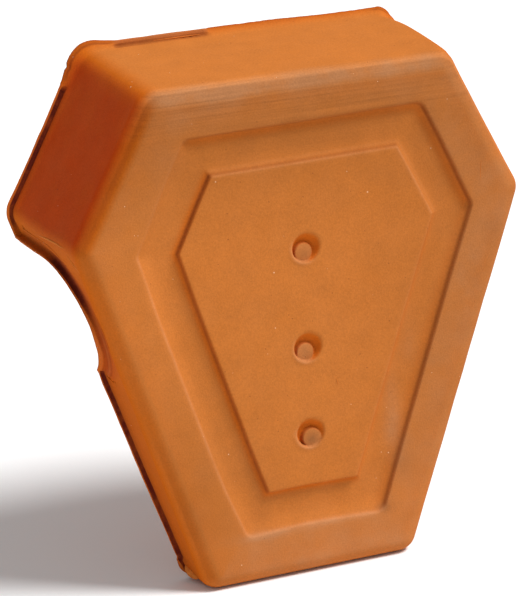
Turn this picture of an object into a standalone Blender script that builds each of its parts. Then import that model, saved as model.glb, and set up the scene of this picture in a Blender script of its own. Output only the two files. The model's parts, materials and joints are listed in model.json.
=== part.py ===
"""Clay end tile that closes a roof verge: one fired-clay shell, open at the back.

Metres, +Z up. X runs across the face, Y runs back from it, and the foot stands at Z = 0.
"""

import math

import bmesh
import bpy
from mathutils import Matrix, Vector

# Face outline: a coffin-shaped hexagon, measured where its sides would meet without rounding
FACE_HEIGHT = 0.3400
TOP_WIDTH = 0.2090
SHOULDER_WIDTH = 0.3110
SHOULDER_HEIGHT = 0.2445
FOOT_WIDTH = 0.1490

# Shell
DEPTH = 0.1070
WALL = 0.0110
FACE_THICKNESS = 0.0160
DRAFT = math.radians(2.6)
FACE_RADIUS = 0.0120
TOP_CORNER_RADIUS = 0.0150
SHOULDER_RADIUS = 0.0130
FOOT_CORNER_RADIUS = 0.0130
INNER_CORNER_RADIUS = 0.0100
INNER_FACE_RADIUS = 0.0060

# Round notches that let the tiles of the slope pass through the two lower walls, and the skirt below
# them, which gets shallower down to the foot and ends in the foot's own, deeper wall
NOTCH_RADIUS = 0.0415
NOTCH_START = 0.0195
NOTCH_SILL = 0.0195
SKIRT_AT_NOTCH = 0.0410
SKIRT_AT_FOOT = 0.0290
FOOT_DEPTH = 0.0335
FOOT_STEP = 0.0090

# Thin lip of clay that stands out all along the back edge
LIP_REACH = 0.0039
LIP_THICKNESS = 0.0032

# Sunk field, with a rim of its own width on each side, and the raised panel inside it
RIM_TOP = 0.0300
RIM_UPPER = 0.0362
RIM_LOWER = 0.0333
RIM_FOOT = 0.0365
FIELD_WIDTH = 0.0270
FIELD_DEPTH = 0.0050
FIELD_CORNER_RADIUS = 0.0055
FIELD_FILLET = 0.0028
PANEL_SINK = 0.0006
PANEL_CORNER_RADIUS = 0.0016
STEP_SLOPE = 0.45

# Round dimples down the panel, each this far below its top edge, with a blunt peg of clay at its bottom
DIMPLE_PLACES = (0.0570, 0.1253, 0.1838)
DIMPLE_RADIUS = 0.0098
DIMPLE_FLOOR_RADIUS = 0.0068
DIMPLE_DEPTH = 0.0055
DIMPLE_DROP = 0.0028
PEG_RADIUS = 0.0054
PEG_HEIGHT = 0.0028
PEG_ROUNDING = 0.0014

# How far a cutter runs past what it cuts, and how finely curves are faceted
OVERRUN = 0.0080
CORNER_STEPS = 5
ARC_STEPS = 20
ROUND_STEPS = 28
PEG_STEPS = 3
SAME_PLACE = 1e-6

FACE_Y = -DEPTH / 2
CLAY_COLOUR = (0.56, 0.19, 0.05, 1.0)
CLAY_ROUGHNESS = 0.85


def clear_scene():
    for leftover in list(bpy.data.objects):
        bpy.data.objects.remove(leftover, do_unlink=True)


def new_collection(name):
    collection = bpy.data.collections.new(name)
    bpy.context.scene.collection.children.link(collection)
    return collection


def clay_material():
    material = bpy.data.materials.new("fired_clay")
    material.use_nodes = True
    shader = material.node_tree.nodes["Principled BSDF"]
    shader.inputs["Base Color"].default_value = CLAY_COLOUR
    shader.inputs["Roughness"].default_value = CLAY_ROUGHNESS
    shader.inputs["Metallic"].default_value = 0.0
    return material


def face_outline():
    """The six corners of the face as (x, z), clockwise from the top left as seen from the front."""
    return [
        Vector((-TOP_WIDTH / 2, FACE_HEIGHT)),
        Vector((TOP_WIDTH / 2, FACE_HEIGHT)),
        Vector((SHOULDER_WIDTH / 2, SHOULDER_HEIGHT)),
        Vector((FOOT_WIDTH / 2, 0.0)),
        Vector((-FOOT_WIDTH / 2, 0.0)),
        Vector((-SHOULDER_WIDTH / 2, SHOULDER_HEIGHT)),
    ]


def by_side(top, upper, lower, foot):
    """One value for each side of the hexagon, in the order of its corners."""
    return [top, upper, lower, foot, lower, upper]


def inset(outline, distances):
    """Moves each side of the outline inwards by its own distance; a negative one moves it out."""
    lines = []
    for index, start in enumerate(outline):
        along = (outline[(index + 1) % len(outline)] - start).normalized()
        inwards = Vector((along.y, -along.x))
        lines.append((start + inwards * distances[index], along))
    corners = []
    for index, (point, along) in enumerate(lines):
        before, before_along = lines[index - 1]
        across = before_along.x * along.y - before_along.y * along.x
        gap = point - before
        reach = (gap.x * along.y - gap.y * along.x) / across
        corners.append(before + before_along * reach)
    return corners


def wall_outline(depth, thickness=0.0):
    """The shell's outline this far behind the face, less a thickness; the foot has no draft."""
    spread = depth * math.tan(DRAFT)
    side = thickness - spread
    return inset(face_outline(), by_side(side, side, side, thickness))


def interior_angle(outline, index):
    to_last = outline[index - 1] - outline[index]
    to_next = outline[(index + 1) % len(outline)] - outline[index]
    return to_last.angle(to_next)


def add_object(bm, name, collection):
    bmesh.ops.recalc_face_normals(bm, faces=bm.faces)
    mesh = bpy.data.meshes.new(name)
    bm.to_mesh(mesh)
    bm.free()
    thing = bpy.data.objects.new(name, mesh)
    collection.objects.link(thing)
    return thing


def as_helper(thing):
    thing.hide_render = True
    thing.display_type = "WIRE"
    return thing


def six_sided_block(ends, radii):
    """A block between two six-cornered ends, each (outline, y), with its long edges rounded."""
    bm = bmesh.new()
    bmesh.ops.create_cone(bm, cap_ends=True, segments=6, radius1=1.0, radius2=1.0, depth=2.0)
    corner_of = {}
    for vert in bm.verts:
        outline, y = ends[0] if vert.co.z < 0 else ends[1]
        corner = round(math.atan2(vert.co.x, vert.co.y) / (math.pi / 3)) % 6
        vert.co = Vector((outline[corner].x, y, outline[corner].y))
        corner_of[vert] = corner
    bmesh.ops.recalc_face_normals(bm, faces=bm.faces)
    long_edges = {}
    for edge in bm.edges:
        first, second = (corner_of[vert] for vert in edge.verts)
        if first == second:
            long_edges[first] = edge
    for corner, radius in enumerate(radii):
        width = radius / math.tan(interior_angle(ends[0][0], corner) / 2)
        bevel(bm, [long_edges[corner]], width, CORNER_STEPS)
    return bm


def bevel(bm, edges, width, steps):
    bmesh.ops.bevel(
        bm, geom=edges, offset=width, offset_type="OFFSET", segments=steps, profile=0.5, affect="EDGES"
    )


def edges_at(bm, axis, level):
    """The edges that lie wholly in the plane at this level of the axis."""
    return [edge for edge in bm.edges if all(abs(vert.co[axis] - level) < SAME_PLACE for vert in edge.verts)]


def round_end(bm, y, radius, slope=0.0):
    """Rounds the edges around the end at this y; slope is how much each wall leans out of square."""
    bevel(bm, edges_at(bm, 1, y), radius / math.tan((math.pi / 2 + slope) / 2), CORNER_STEPS)


def corner_radii(extra=0.0):
    top = TOP_CORNER_RADIUS + extra
    shoulder = SHOULDER_RADIUS + extra
    foot = FOOT_CORNER_RADIUS + extra
    return [top, top, shoulder, foot, foot, shoulder]


def outer_block(collection):
    depth = DEPTH + OVERRUN
    ends = [(wall_outline(0.0), FACE_Y), (wall_outline(depth), FACE_Y + depth)]
    bm = six_sided_block(ends, corner_radii())
    round_end(bm, FACE_Y, FACE_RADIUS, DRAFT)
    return add_object(bm, "clay_end_tile", collection)


def cavity(collection):
    depth = DEPTH + OVERRUN
    front = wall_outline(FACE_THICKNESS, WALL)
    ends = [(front, FACE_Y + FACE_THICKNESS), (wall_outline(depth, WALL), FACE_Y + depth)]
    bm = six_sided_block(ends, [INNER_CORNER_RADIUS] * 6)
    round_end(bm, FACE_Y + FACE_THICKNESS, INNER_FACE_RADIUS, DRAFT)
    return as_helper(add_object(bm, "cavity_cutter", collection))


def back_edge(forward=0.0):
    """The back edge seen from the side, as (depth, z) from the top down, moved forward by a margin."""
    shoulder, foot = wall_outline(DEPTH)[2:4]
    fall = (shoulder - foot).normalized().y
    radius = NOTCH_RADIUS + forward
    middle_depth = NOTCH_SILL + NOTCH_RADIUS
    middle_z = shoulder.y - (NOTCH_START + NOTCH_RADIUS) * fall
    last = math.acos((middle_depth - SKIRT_AT_NOTCH + forward) / radius)
    points = [
        Vector((DEPTH - forward, FACE_HEIGHT + DEPTH)),
        Vector((DEPTH - forward, middle_z + radius * fall)),
    ]
    for step in range(ARC_STEPS + 1):
        angle = math.pi / 2 - (math.pi / 2 + last) * step / ARC_STEPS
        points.append(
            Vector((middle_depth - radius * math.cos(angle), middle_z + radius * fall * math.sin(angle)))
        )
    points.append(Vector((SKIRT_AT_FOOT - forward, FOOT_STEP + FOOT_DEPTH - SKIRT_AT_FOOT)))
    points.append(Vector((FOOT_DEPTH - forward, FOOT_STEP)))
    points.append(Vector((FOOT_DEPTH - forward, -OVERRUN)))
    return points


def back_cutter(name, forward, collection):
    """Everything behind the back edge, as a flat outline extruded right across the tile."""
    edge = back_edge(forward)
    behind = DEPTH + 2 * OVERRUN
    outline = edge + [Vector((behind, edge[-1].y)), Vector((behind, edge[0].y))]
    curve = bpy.data.curves.new(name, "CURVE")
    curve.dimensions = "2D"
    curve.fill_mode = "BOTH"
    curve.extrude = SHOULDER_WIDTH
    spline = curve.splines.new("POLY")
    spline.points.add(len(outline) - 1)
    for point, corner in zip(spline.points, outline):
        point.co = (corner.x, corner.y, 0.0, 1.0)
    spline.use_cyclic_u = True
    guide = bpy.data.objects.new(name + "_outline", curve)
    collection.objects.link(guide)
    graph = bpy.context.evaluated_depsgraph_get()
    bm = bmesh.new()
    bm.from_mesh(bpy.data.meshes.new_from_object(guide.evaluated_get(graph)))
    bpy.data.objects.remove(guide)
    bmesh.ops.remove_doubles(bm, verts=bm.verts, dist=SAME_PLACE)
    # The curve lies in (depth, z): its plane is turned upright, facing along X
    upright = Matrix(((0, 0, 1, 0), (1, 0, 0, FACE_Y), (0, 1, 0, 0), (0, 0, 0, 1)))
    bmesh.ops.transform(bm, matrix=upright, verts=bm.verts)
    return as_helper(add_object(bm, name, collection))


def lip(collection):
    """The lip: a wider block of the same outline, kept only in a thin band along the back edge."""
    depth = DEPTH + OVERRUN / 2
    start = NOTCH_SILL - 2 * LIP_THICKNESS
    # The foot's own lip is left off, so that the tile stands flat: the band stops inside the foot wall
    reach = by_side(-LIP_REACH, -LIP_REACH, -LIP_REACH, WALL / 2)
    ends = [
        (inset(wall_outline(start), reach), FACE_Y + start),
        (inset(wall_outline(depth), reach), FACE_Y + depth),
    ]
    bm = six_sided_block(ends, corner_radii(LIP_REACH))
    band = as_helper(add_object(bm, "back_lip", collection))
    boolean(band, "keep_the_band", "INTERSECT", back_cutter("lip_band", LIP_THICKNESS, collection))
    return band


def field_outline():
    return inset(face_outline(), by_side(RIM_TOP, RIM_UPPER, RIM_LOWER, RIM_FOOT))


def panel_outline():
    return inset(field_outline(), [FIELD_WIDTH] * 6)


def stepped(outline, depth):
    """An outline on the face, as it is this deep when its step slopes inwards."""
    return inset(outline, [depth * STEP_SLOPE] * 6)


def field_cutter(collection):
    floor_y = FACE_Y + FIELD_DEPTH
    ends = [
        (stepped(field_outline(), -OVERRUN), FACE_Y - OVERRUN),
        (stepped(field_outline(), FIELD_DEPTH), floor_y),
    ]
    bm = six_sided_block(ends, [FIELD_CORNER_RADIUS] * 6)
    round_end(bm, floor_y, FIELD_FILLET)
    return as_helper(add_object(bm, "field_cutter", collection))


def raised_panel(collection):
    root = FIELD_DEPTH + FACE_THICKNESS / 4
    ends = [
        (panel_outline(), FACE_Y + PANEL_SINK),
        (stepped(panel_outline(), PANEL_SINK - root), FACE_Y + root),
    ]
    bm = six_sided_block(ends, [PANEL_CORNER_RADIUS] * 6)
    return as_helper(add_object(bm, "raised_panel", collection))


def dimple_cutter(name, height, collection):
    """A funnel whose floor sits lower than its mouth."""
    bm = bmesh.new()
    lean = (DIMPLE_RADIUS - DIMPLE_FLOOR_RADIUS) / DIMPLE_DEPTH
    length = DIMPLE_DEPTH + PANEL_SINK
    bmesh.ops.create_cone(
        bm,
        cap_ends=True,
        segments=ROUND_STEPS,
        radius1=DIMPLE_FLOOR_RADIUS,
        radius2=DIMPLE_RADIUS + lean * PANEL_SINK,
        depth=length,
    )
    for vert in bm.verts:
        if vert.co.z < 0:
            vert.co.y -= DIMPLE_DROP
    # The cone's axis is turned to point out of the face
    turned = Matrix.Rotation(math.pi / 2, 4, "X")
    placed = Matrix.Translation((0.0, FACE_Y + length / 2, height))
    bmesh.ops.transform(bm, matrix=placed @ turned, verts=bm.verts)
    return as_helper(add_object(bm, name, collection))


def peg(name, height, collection):
    """The blunt peg on a dimple's floor; it is rooted as deep in the clay as it stands proud."""
    bm = bmesh.new()
    bmesh.ops.create_cone(
        bm,
        cap_ends=True,
        segments=ROUND_STEPS,
        radius1=PEG_RADIUS,
        radius2=PEG_RADIUS,
        depth=2 * PEG_HEIGHT,
    )
    bevel(bm, edges_at(bm, 2, PEG_HEIGHT), PEG_ROUNDING, PEG_STEPS)
    turned = Matrix.Rotation(math.pi / 2, 4, "X")
    floor_y = FACE_Y + PANEL_SINK + DIMPLE_DEPTH
    placed = Matrix.Translation((0.0, floor_y, height - DIMPLE_DROP))
    bmesh.ops.transform(bm, matrix=placed @ turned, verts=bm.verts)
    return as_helper(add_object(bm, name, collection))


def boolean(thing, name, operation, other):
    modifier = thing.modifiers.new(name, "BOOLEAN")
    modifier.operation = operation
    modifier.object = other
    modifier.solver = "EXACT"


def build():
    clear_scene()
    parts = new_collection("clay_verge_end_tile")
    cutters = new_collection("cutters")
    tile = outer_block(parts)
    tile.data.materials.append(clay_material())
    boolean(tile, "lip", "UNION", lip(cutters))
    boolean(tile, "back_edge", "DIFFERENCE", back_cutter("back_cutter", 0.0, cutters))
    boolean(tile, "cavity", "DIFFERENCE", cavity(cutters))
    boolean(tile, "field", "DIFFERENCE", field_cutter(cutters))
    boolean(tile, "panel", "UNION", raised_panel(cutters))
    panel_top = panel_outline()[0].y
    for index, place in enumerate(DIMPLE_PLACES):
        height = panel_top - place
        hollow = dimple_cutter(f"dimple_cutter_{index}", height, cutters)
        boolean(tile, f"dimple_{index}", "DIFFERENCE", hollow)
        boolean(tile, f"peg_{index}", "UNION", peg(f"blunt_peg_{index}", height, cutters))
    tile.data.shade_smooth()
    tile.data.set_sharp_from_angle(angle=math.radians(35))


build()
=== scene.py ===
# %% [markdown]
# # A clay end tile for a roof verge
#
# The real object is one piece of fired clay, pressed in a mould. It has a coffin-shaped front with a
# sunk field, a raised panel and three round dimples. Its sides reach back to a torn lip, and each of
# the two lower sides has a round notch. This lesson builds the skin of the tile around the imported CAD
# solid, then its finish, then a plain studio to see it in.

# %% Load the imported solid
import json
import math

import bmesh
import bpy
import numpy as np
from mathutils import Matrix, Vector, geometry, noise

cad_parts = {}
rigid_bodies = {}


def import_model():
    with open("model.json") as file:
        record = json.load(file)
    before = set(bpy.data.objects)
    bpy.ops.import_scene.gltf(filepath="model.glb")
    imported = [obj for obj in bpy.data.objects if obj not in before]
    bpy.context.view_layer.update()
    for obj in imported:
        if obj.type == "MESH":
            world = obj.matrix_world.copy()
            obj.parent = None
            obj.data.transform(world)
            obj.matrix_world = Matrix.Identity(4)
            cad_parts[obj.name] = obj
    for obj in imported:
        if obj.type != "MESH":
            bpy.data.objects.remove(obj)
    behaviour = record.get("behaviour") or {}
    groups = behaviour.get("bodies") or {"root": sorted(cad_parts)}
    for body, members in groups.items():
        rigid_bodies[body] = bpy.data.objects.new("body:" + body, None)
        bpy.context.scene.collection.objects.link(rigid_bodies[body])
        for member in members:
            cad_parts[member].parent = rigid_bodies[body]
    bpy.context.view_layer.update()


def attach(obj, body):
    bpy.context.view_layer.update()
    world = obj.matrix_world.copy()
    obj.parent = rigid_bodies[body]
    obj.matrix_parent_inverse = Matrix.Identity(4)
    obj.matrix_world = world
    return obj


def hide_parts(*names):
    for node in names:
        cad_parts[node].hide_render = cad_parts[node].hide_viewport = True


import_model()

# %% [markdown]
# ## The sizes of the tile
#
# These are the sizes of the CAD solid, in millimetres. The skin follows them, so that it stays where
# the solid is. The six sides of the front go clockwise from the top, as seen from the front.

# %% Sizes taken from the solid
MM = 0.001
FACE_HEIGHT = 340.0
TOP_WIDTH = 209.0
SHOULDER_WIDTH = 311.0
SHOULDER_HEIGHT = 244.5
FOOT_WIDTH = 149.0
DEPTH = 107.0
WALL = 11.0
FACE_THICKNESS = 16.0
DRAFT = math.radians(2.6)
FACE_RADIUS = 12.0
CORNER_RADII = np.array([15.0, 15.0, 13.0, 13.0, 13.0, 13.0])
INNER_FACE_RADIUS = 6.0
NOTCH_RADIUS = 41.5
NOTCH_START = 19.5
NOTCH_SILL = 19.5
SKIRT_AT_NOTCH = 41.0
SKIRT_AT_FOOT = 29.0
FOOT_DEPTH = 33.5
FACE_Y = -DEPTH / 2

# Width of the rim on each side of the front, then the width of the field inside it
RIM = np.array([30.0, 33.5, 33.3, 36.5, 33.3, 33.5])
FIELD_WIDTH = 27.0
FIELD_STRETCH = np.array([1.0, 1.055, 1.0, 1.0, 1.0, 1.055])

CORNERS = np.array(
    [
        (-TOP_WIDTH / 2, FACE_HEIGHT),
        (TOP_WIDTH / 2, FACE_HEIGHT),
        (SHOULDER_WIDTH / 2, SHOULDER_HEIGHT),
        (FOOT_WIDTH / 2, 0.0),
        (-FOOT_WIDTH / 2, 0.0),
        (-SHOULDER_WIDTH / 2, SHOULDER_HEIGHT),
    ]
)
ALONG = np.roll(CORNERS, -1, axis=0) - CORNERS
SIDE_LENGTH = np.linalg.norm(ALONG, axis=1)
ALONG = ALONG / SIDE_LENGTH[:, None]
INWARDS = np.stack([ALONG[:, 1], -ALONG[:, 0]], axis=1)
TURN = np.array(
    [math.acos(float(np.clip(ALONG[i - 1] @ ALONG[i], -1, 1))) for i in range(6)]
)
SETBACK = np.tan(TURN / 2)
print("sides in mm", SIDE_LENGTH.round(1), "turns in degrees", np.degrees(TURN).round(1))

# %% [markdown]
# ## Columns and rows
#
# The skin could be carved out of a block with Booleans, but then its edges stay crisp and its lip
# can't be torn. It is woven instead, as a potter would roll a sheet over a form: columns run from the
# panel's edge out over the front, back along the sides, round the lip and in again, and each row goes
# once round the six sides. A point is found from its column, how far it lies inside the front's
# outline, and how deep it lies behind the face.
#
# The right half is laid out first and then mirrored, because the tile is even.


# %% Find a point on any inset of the outline
def corner_points(insets):
    """Where the sides meet when each has moved inwards by its own distance: (n, 6) to (n, 6, 2)."""
    levels = np.einsum("ij,ij->i", CORNERS, INWARDS) + insets
    found = []
    for i in range(6):
        pair = np.array([INWARDS[i - 1], INWARDS[i]])
        found.append(np.stack([levels[:, i - 1], levels[:, i]], axis=1) @ np.linalg.inv(pair).T)
    return np.stack(found, axis=1)


print("the first corner of an inset of 10 mm:", corner_points(np.full((1, 6), 10.0))[0, 0].round(1))


def outline_points(on_arc, index, share, height, insets, radii):
    """Points on rounded outlines. A side point goes by its share of the side, or by its height."""
    corners = corner_points(insets)
    row = np.arange(len(index))
    following = (index + 1) % 6
    here_radius = radii[row, index]
    start = corners[row, index] + ALONG[index] * (here_radius * SETBACK[index])[:, None]
    end = corners[row, following] - ALONG[index] * (radii[row, following] * SETBACK[following])[:, None]
    drop = end[:, 1] - start[:, 1]
    by_height = (height - start[:, 1]) / np.where(np.abs(drop) > 1, drop, 1)
    share = np.where(np.isnan(height), share, by_height)
    on_side = start + (end - start) * share[:, None]
    angles = np.arctan2(-INWARDS[:, 1], -INWARDS[:, 0])
    angle = angles[index - 1] - TURN[index] * share
    bisector = (INWARDS[index - 1] + INWARDS[index]) / (2 * np.cos(TURN[index] / 2))[:, None]
    centre = corners[row, index] + bisector * (here_radius / np.cos(TURN[index] / 2))[:, None]
    round_corner = centre + here_radius[:, None] * np.stack([np.cos(angle), np.sin(angle)], axis=1)
    return np.where(on_arc[:, None], round_corner, on_side)


# %% [markdown]
# ## The back edge and its notches
#
# Along the lower side the back edge runs straight, drops into the round notch, comes back up to the
# skirt and slopes down to the foot. The columns have to follow it, so each of them knows where on the
# back edge it ends, and which way the clay lies from there.

# %% Lay out the columns of the right half
SKIRT_END = 238.5
FOOT_RAMP = 4.5
NOTCH_TOP_ON_FRONT = 10.5
NOTCH_FLOOR_ON_FRONT = 23.5
CUT_STEPS = 18
ARC_STEPS = 46
FALL = -ALONG[2][1]
SHOULDER_BACK = corner_points(np.full((1, 6), -DEPTH * math.tan(DRAFT)))[0, 2, 1]
LOWER_FIRST = CORNER_RADII[2] * SETBACK[2]
LOWER_LAST = SIDE_LENGTH[2] - CORNER_RADII[3] * SETBACK[3]


def mitre(first, second):
    """The step off an edge at a corner that keeps the same distance from both of its sides."""
    first, second = np.array(first), np.array(second)
    return (first + second) / (1 + first @ second)


def notch_table():
    """The lower side's back edge: along, depth, the way into the clay, and along on the front."""
    middle_along = NOTCH_START + NOTCH_RADIUS
    middle_depth = NOTCH_SILL + NOTCH_RADIUS
    last = math.acos((middle_depth - SKIRT_AT_NOTCH) / NOTCH_RADIUS)
    table = [(LOWER_FIRST, DEPTH, 0, -1, LOWER_FIRST)]
    table += [(NOTCH_START * 0.75, DEPTH, -0.5, -1, 8.5), (NOTCH_START, DEPTH, -1, -1, NOTCH_TOP_ON_FRONT)]
    for step in range(1, CUT_STEPS):
        share = step / CUT_STEPS
        depth = DEPTH + (middle_depth - DEPTH) * share
        on_front = NOTCH_TOP_ON_FRONT + (NOTCH_FLOOR_ON_FRONT - NOTCH_TOP_ON_FRONT) * share
        table.append((NOTCH_START, depth, -1, -max(0, 1 - 4 * share), on_front))
    for step in range(ARC_STEPS + 1):
        angle = math.pi / 2 - (math.pi / 2 + last) * step / ARC_STEPS
        along = middle_along - NOTCH_RADIUS * math.sin(angle)
        straight = middle_along - (middle_along - NOTCH_FLOOR_ON_FRONT) * angle / (math.pi / 2)
        blend = max(0.0, angle / (math.pi / 2)) ** 1.5
        depth = middle_depth - NOTCH_RADIUS * math.cos(angle)
        table.append((along, depth, -math.sin(angle), -math.cos(angle), along + (straight - along) * blend))
    run = np.array([SKIRT_END - along, SKIRT_AT_FOOT - SKIRT_AT_NOTCH])
    run = run / np.linalg.norm(run)
    off_skirt = (run[1], -run[0])
    nib = mitre((math.sin(last), -math.cos(last)), off_skirt)
    table[-1] = (along, depth, nib[0], nib[1], along)
    skirt_steps = int((SKIRT_END - along) / 2.6)
    for step in range(1, skirt_steps):
        share = step / skirt_steps
        way = np.array(off_skirt) + (nib - np.array(off_skirt)) * max(0.0, 1 - 6 * share)
        here = along + (SKIRT_END - along) * share
        table.append((here, depth + (SKIRT_AT_FOOT - depth) * share, way[0], way[1], here))
    ramp = (math.sqrt(0.5), -math.sqrt(0.5))
    foot_corner = mitre(ramp, (0.0, -1.0))
    dip = mitre(off_skirt, ramp)
    foot = SKIRT_END + FOOT_RAMP
    table.append((SKIRT_END, SKIRT_AT_FOOT, dip[0], dip[1], SKIRT_END))
    table.append((foot, FOOT_DEPTH, foot_corner[0], foot_corner[1], foot))
    return table


def plain_columns(is_arc, index, shares, depth):
    return [(is_arc, index, share, depth, 0, -1, math.nan, math.nan) for share in shares]


columns = plain_columns(False, 0, np.linspace(0.5, 1, 46)[:-1], DEPTH)
columns += plain_columns(True, 1, np.linspace(0, 1, 10)[:-1], DEPTH)
columns += plain_columns(False, 1, np.linspace(0, 1, 46)[:-1], DEPTH)
columns += plain_columns(True, 2, np.linspace(0, 1, 10)[:-1], DEPTH)
for along, depth, way_1, way_2, front_along in notch_table():
    share = (front_along - LOWER_FIRST) / (LOWER_LAST - LOWER_FIRST)
    columns.append((False, 2, share, depth, way_1, way_2, along, front_along))
columns += plain_columns(True, 3, np.linspace(0, 1, 10)[:-1], FOOT_DEPTH)
columns += plain_columns(False, 3, np.linspace(0, 0.5, 30), FOOT_DEPTH)
column_values = np.array([[float(value) for value in column] for column in columns])
on_arc = column_values[:, 0] > 0.5
side_index = column_values[:, 1].astype(int)
side_share, back_depth, way_along, way_depth, back_along, front_along = column_values[:, 2:8].T
half = len(column_values)
print("columns in the right half:", half)

# %% [markdown]
# ## Helpers for the rows
#
# The outer wall widens towards the back, because a pressed tile needs draft to leave its mould. The
# foot has no draft, so that the tile stands flat. Distances along the back edge, counted from the middle
# of the top, say where on the tile a column ends.

# %% Place a row of points and measure along the back edge


def heights(along):
    return SHOULDER_BACK - along * FALL


def row_of_points(insets, radii, share, height, depth):
    if np.ndim(insets) == 1:
        insets = np.tile(insets, (half, 1))
    if np.ndim(radii) == 1:
        radii = np.tile(radii, (half, 1))
    flat = outline_points(on_arc, side_index, share, height, insets, radii)
    return np.column_stack([flat[:, 0], np.maximum(flat[:, 1], 0), np.broadcast_to(depth, half)])


def wall_insets(depth, outwards):
    """Insets of the outer wall at this depth, moved out by a distance; the foot keeps flat."""
    spread = -np.broadcast_to(depth, half) * math.tan(DRAFT) - outwards
    insets = np.repeat(spread[:, None], 6, axis=1)
    insets[:, 3] = np.where(outwards < 0, -outwards, 0.0)
    return insets


def eased(value, start, end):
    """0 before start, 1 after end, with a soft change between them."""
    share = np.clip((value - start) / (end - start), 0, 1)
    return share * share * (3 - 2 * share)


back_edge = row_of_points(
    wall_insets(back_depth, np.zeros(half)), CORNER_RADII, side_share, heights(back_along), back_depth
)
steps = np.linalg.norm(np.diff(back_edge, axis=0), axis=1)
travel = np.concatenate([[0.0], np.cumsum(steps)])
print("each half of the back edge is", round(float(travel[-1])), "mm long")

# %% [markdown]
# ## The lip along the back edge
#
# When the tile was lifted from its mould and trimmed with a wire, clay was dragged out along the back edge.
# On the sides it stands up as a crest with a trench behind it, and the trench is painted dark as shade. On
# the top it is only a soft flare, apart from one stretch that a wire has cut flat. In the deep part of the
# notch the wall sinks softly towards the trench and is painted darker there as shade, and further down a
# second shallow line runs beside it.
#
# Each of these is a short list of places along the back edge, in millimetres from the middle of the
# top, with the value that the lip has there.

# %% Say how the lip goes along each half
LEFT_LIP = {
    "reach": [
        (0, 4.4), (60, 4.2), (84, 4.2), (91, 5.0), (98, 6.0), (105, 7.1), (115, 6.9), (118, 6.5),
        (119.5, 5.0), (121, 6.1), (128, 4.8), (140, 4.4), (185, 4.2), (217, 4.7), (225, 4.3), (242, 4.2),
        (248, 4.9), (285, 5.0), (296, 4.5), (315, 4.1), (345, 4.1), (365, 4.5), (384, 5.0), (391, 4.8),
        (395, 3.8), (402, 4.4), (532, 4.4), (545, 3.6), (551, 4.6), (555, 4.4), (559, 2.2), (563, 0),
    ],
    "crest": [
        (20, 1.4), (23, 1.6), (60, 1.8), (86, 2.2), (88, 1.5), (131, 1.5), (134, 1.5), (205, 1.5),
        (220, 1.8), (236, 0.7), (286, 0.8), (298, 1.1), (330, 1.1), (345, 2.0), (390, 2.4), (396, 0.7),
        (540, 0.6), (549, 2.2), (556, 2.6), (565, 0.5),
    ],
    "thick": [
        (0, 3.2), (86, 3.2), (131, 2.2), (135, 1.7), (222, 1.7), (240, 3.4), (288, 3.0), (300, 1.5),
        (340, 1.8), (350, 2.6), (390, 2.8), (397, 1.1), (540, 1.1), (550, 2.4), (563, 2.4),
    ],
    "trench": [
        (20, 0), (23, 0.35), (60, 0.3), (85, 0.5), (88, 0), (130, 0), (133, 1.0), (212, 0.95),
        (227, 0.85), (236, 0.2), (285, 0.3), (295, 1.0), (330, 1.0), (345, 0.4), (388, 0.35), (396, 0.9),
        (549, 0.9), (556, 0.6), (563, 0),
    ],
    "swell": [
        (130, 0), (134, 0.6), (205, 0.7), (220, 1.0), (232, 0.4), (245, 0), (300, 0), (345, 0.5),
        (396, 1.0), (545, 1.0), (560, 0),
    ],
    "flare": [(20, 1), (22, 0), (85, 0), (88, 1), (130, 1), (133, 0)],
    "fade": [
        (225, 0), (245, 0.2), (285, 0.34), (298, 0.8), (322, 0.85), (345, 0.4), (385, 0.25), (400, 0.3),
        (560, 0.2),
    ],
    "groove": [(86, 0), (90, 0.8), (111, 0.6), (118, 1.0), (125, 0.5), (131, 0)],
    "second": [(338, 0), (350, 1), (384, 1), (392, 0)],
}
RIGHT_LIP = {
    "reach": [
        (0, 4.4), (30, 4.3), (60, 3.8), (92, 3.8), (99, 4.1), (103, 5.0), (107, 4.4), (111, 3.4),
        (118, 4.3), (240, 4.2), (285, 4.8), (345, 4.1), (390, 4.7), (402, 4.3), (540, 4.2), (556, 3.0),
        (563, 0),
    ],
    "crest": [
        (108, 1.6), (118, 1.6), (240, 1.9), (285, 2.2), (330, 1.2), (390, 2.3), (400, 0.9), (565, 0.7),
    ],
    "thick": [(0, 3.2), (108, 2.6), (120, 1.9), (285, 2.3), (330, 1.7), (390, 2.6), (400, 1.4), (565, 1.6)],
    "trench": [
        (108, 0), (120, 0.8), (225, 0.9), (285, 0.6), (330, 1.0), (385, 0.5), (400, 0.9), (545, 0.9),
        (563, 0),
    ],
    "swell": [(108, 0), (120, 0.5), (225, 0.6), (245, 0), (345, 0.4), (400, 0.8), (545, 0.8), (560, 0)],
    "flare": [(108, 1), (120, 0)],
    "fade": [(225, 0), (300, 0.7), (345, 0.4), (560, 0.2)],
    "second": [(338, 0), (350, 0.7), (384, 0.7), (392, 0)],
    "groove": [(95, 0), (100, 0.6), (108, 0.6), (114, 0)],
}


def along_line(seed, scale, size):
    """A wavering value for every column, the same in each run."""
    return np.array([noise.noise(Vector((place * scale, seed, 0.5))) for place in travel]) * size


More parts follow.
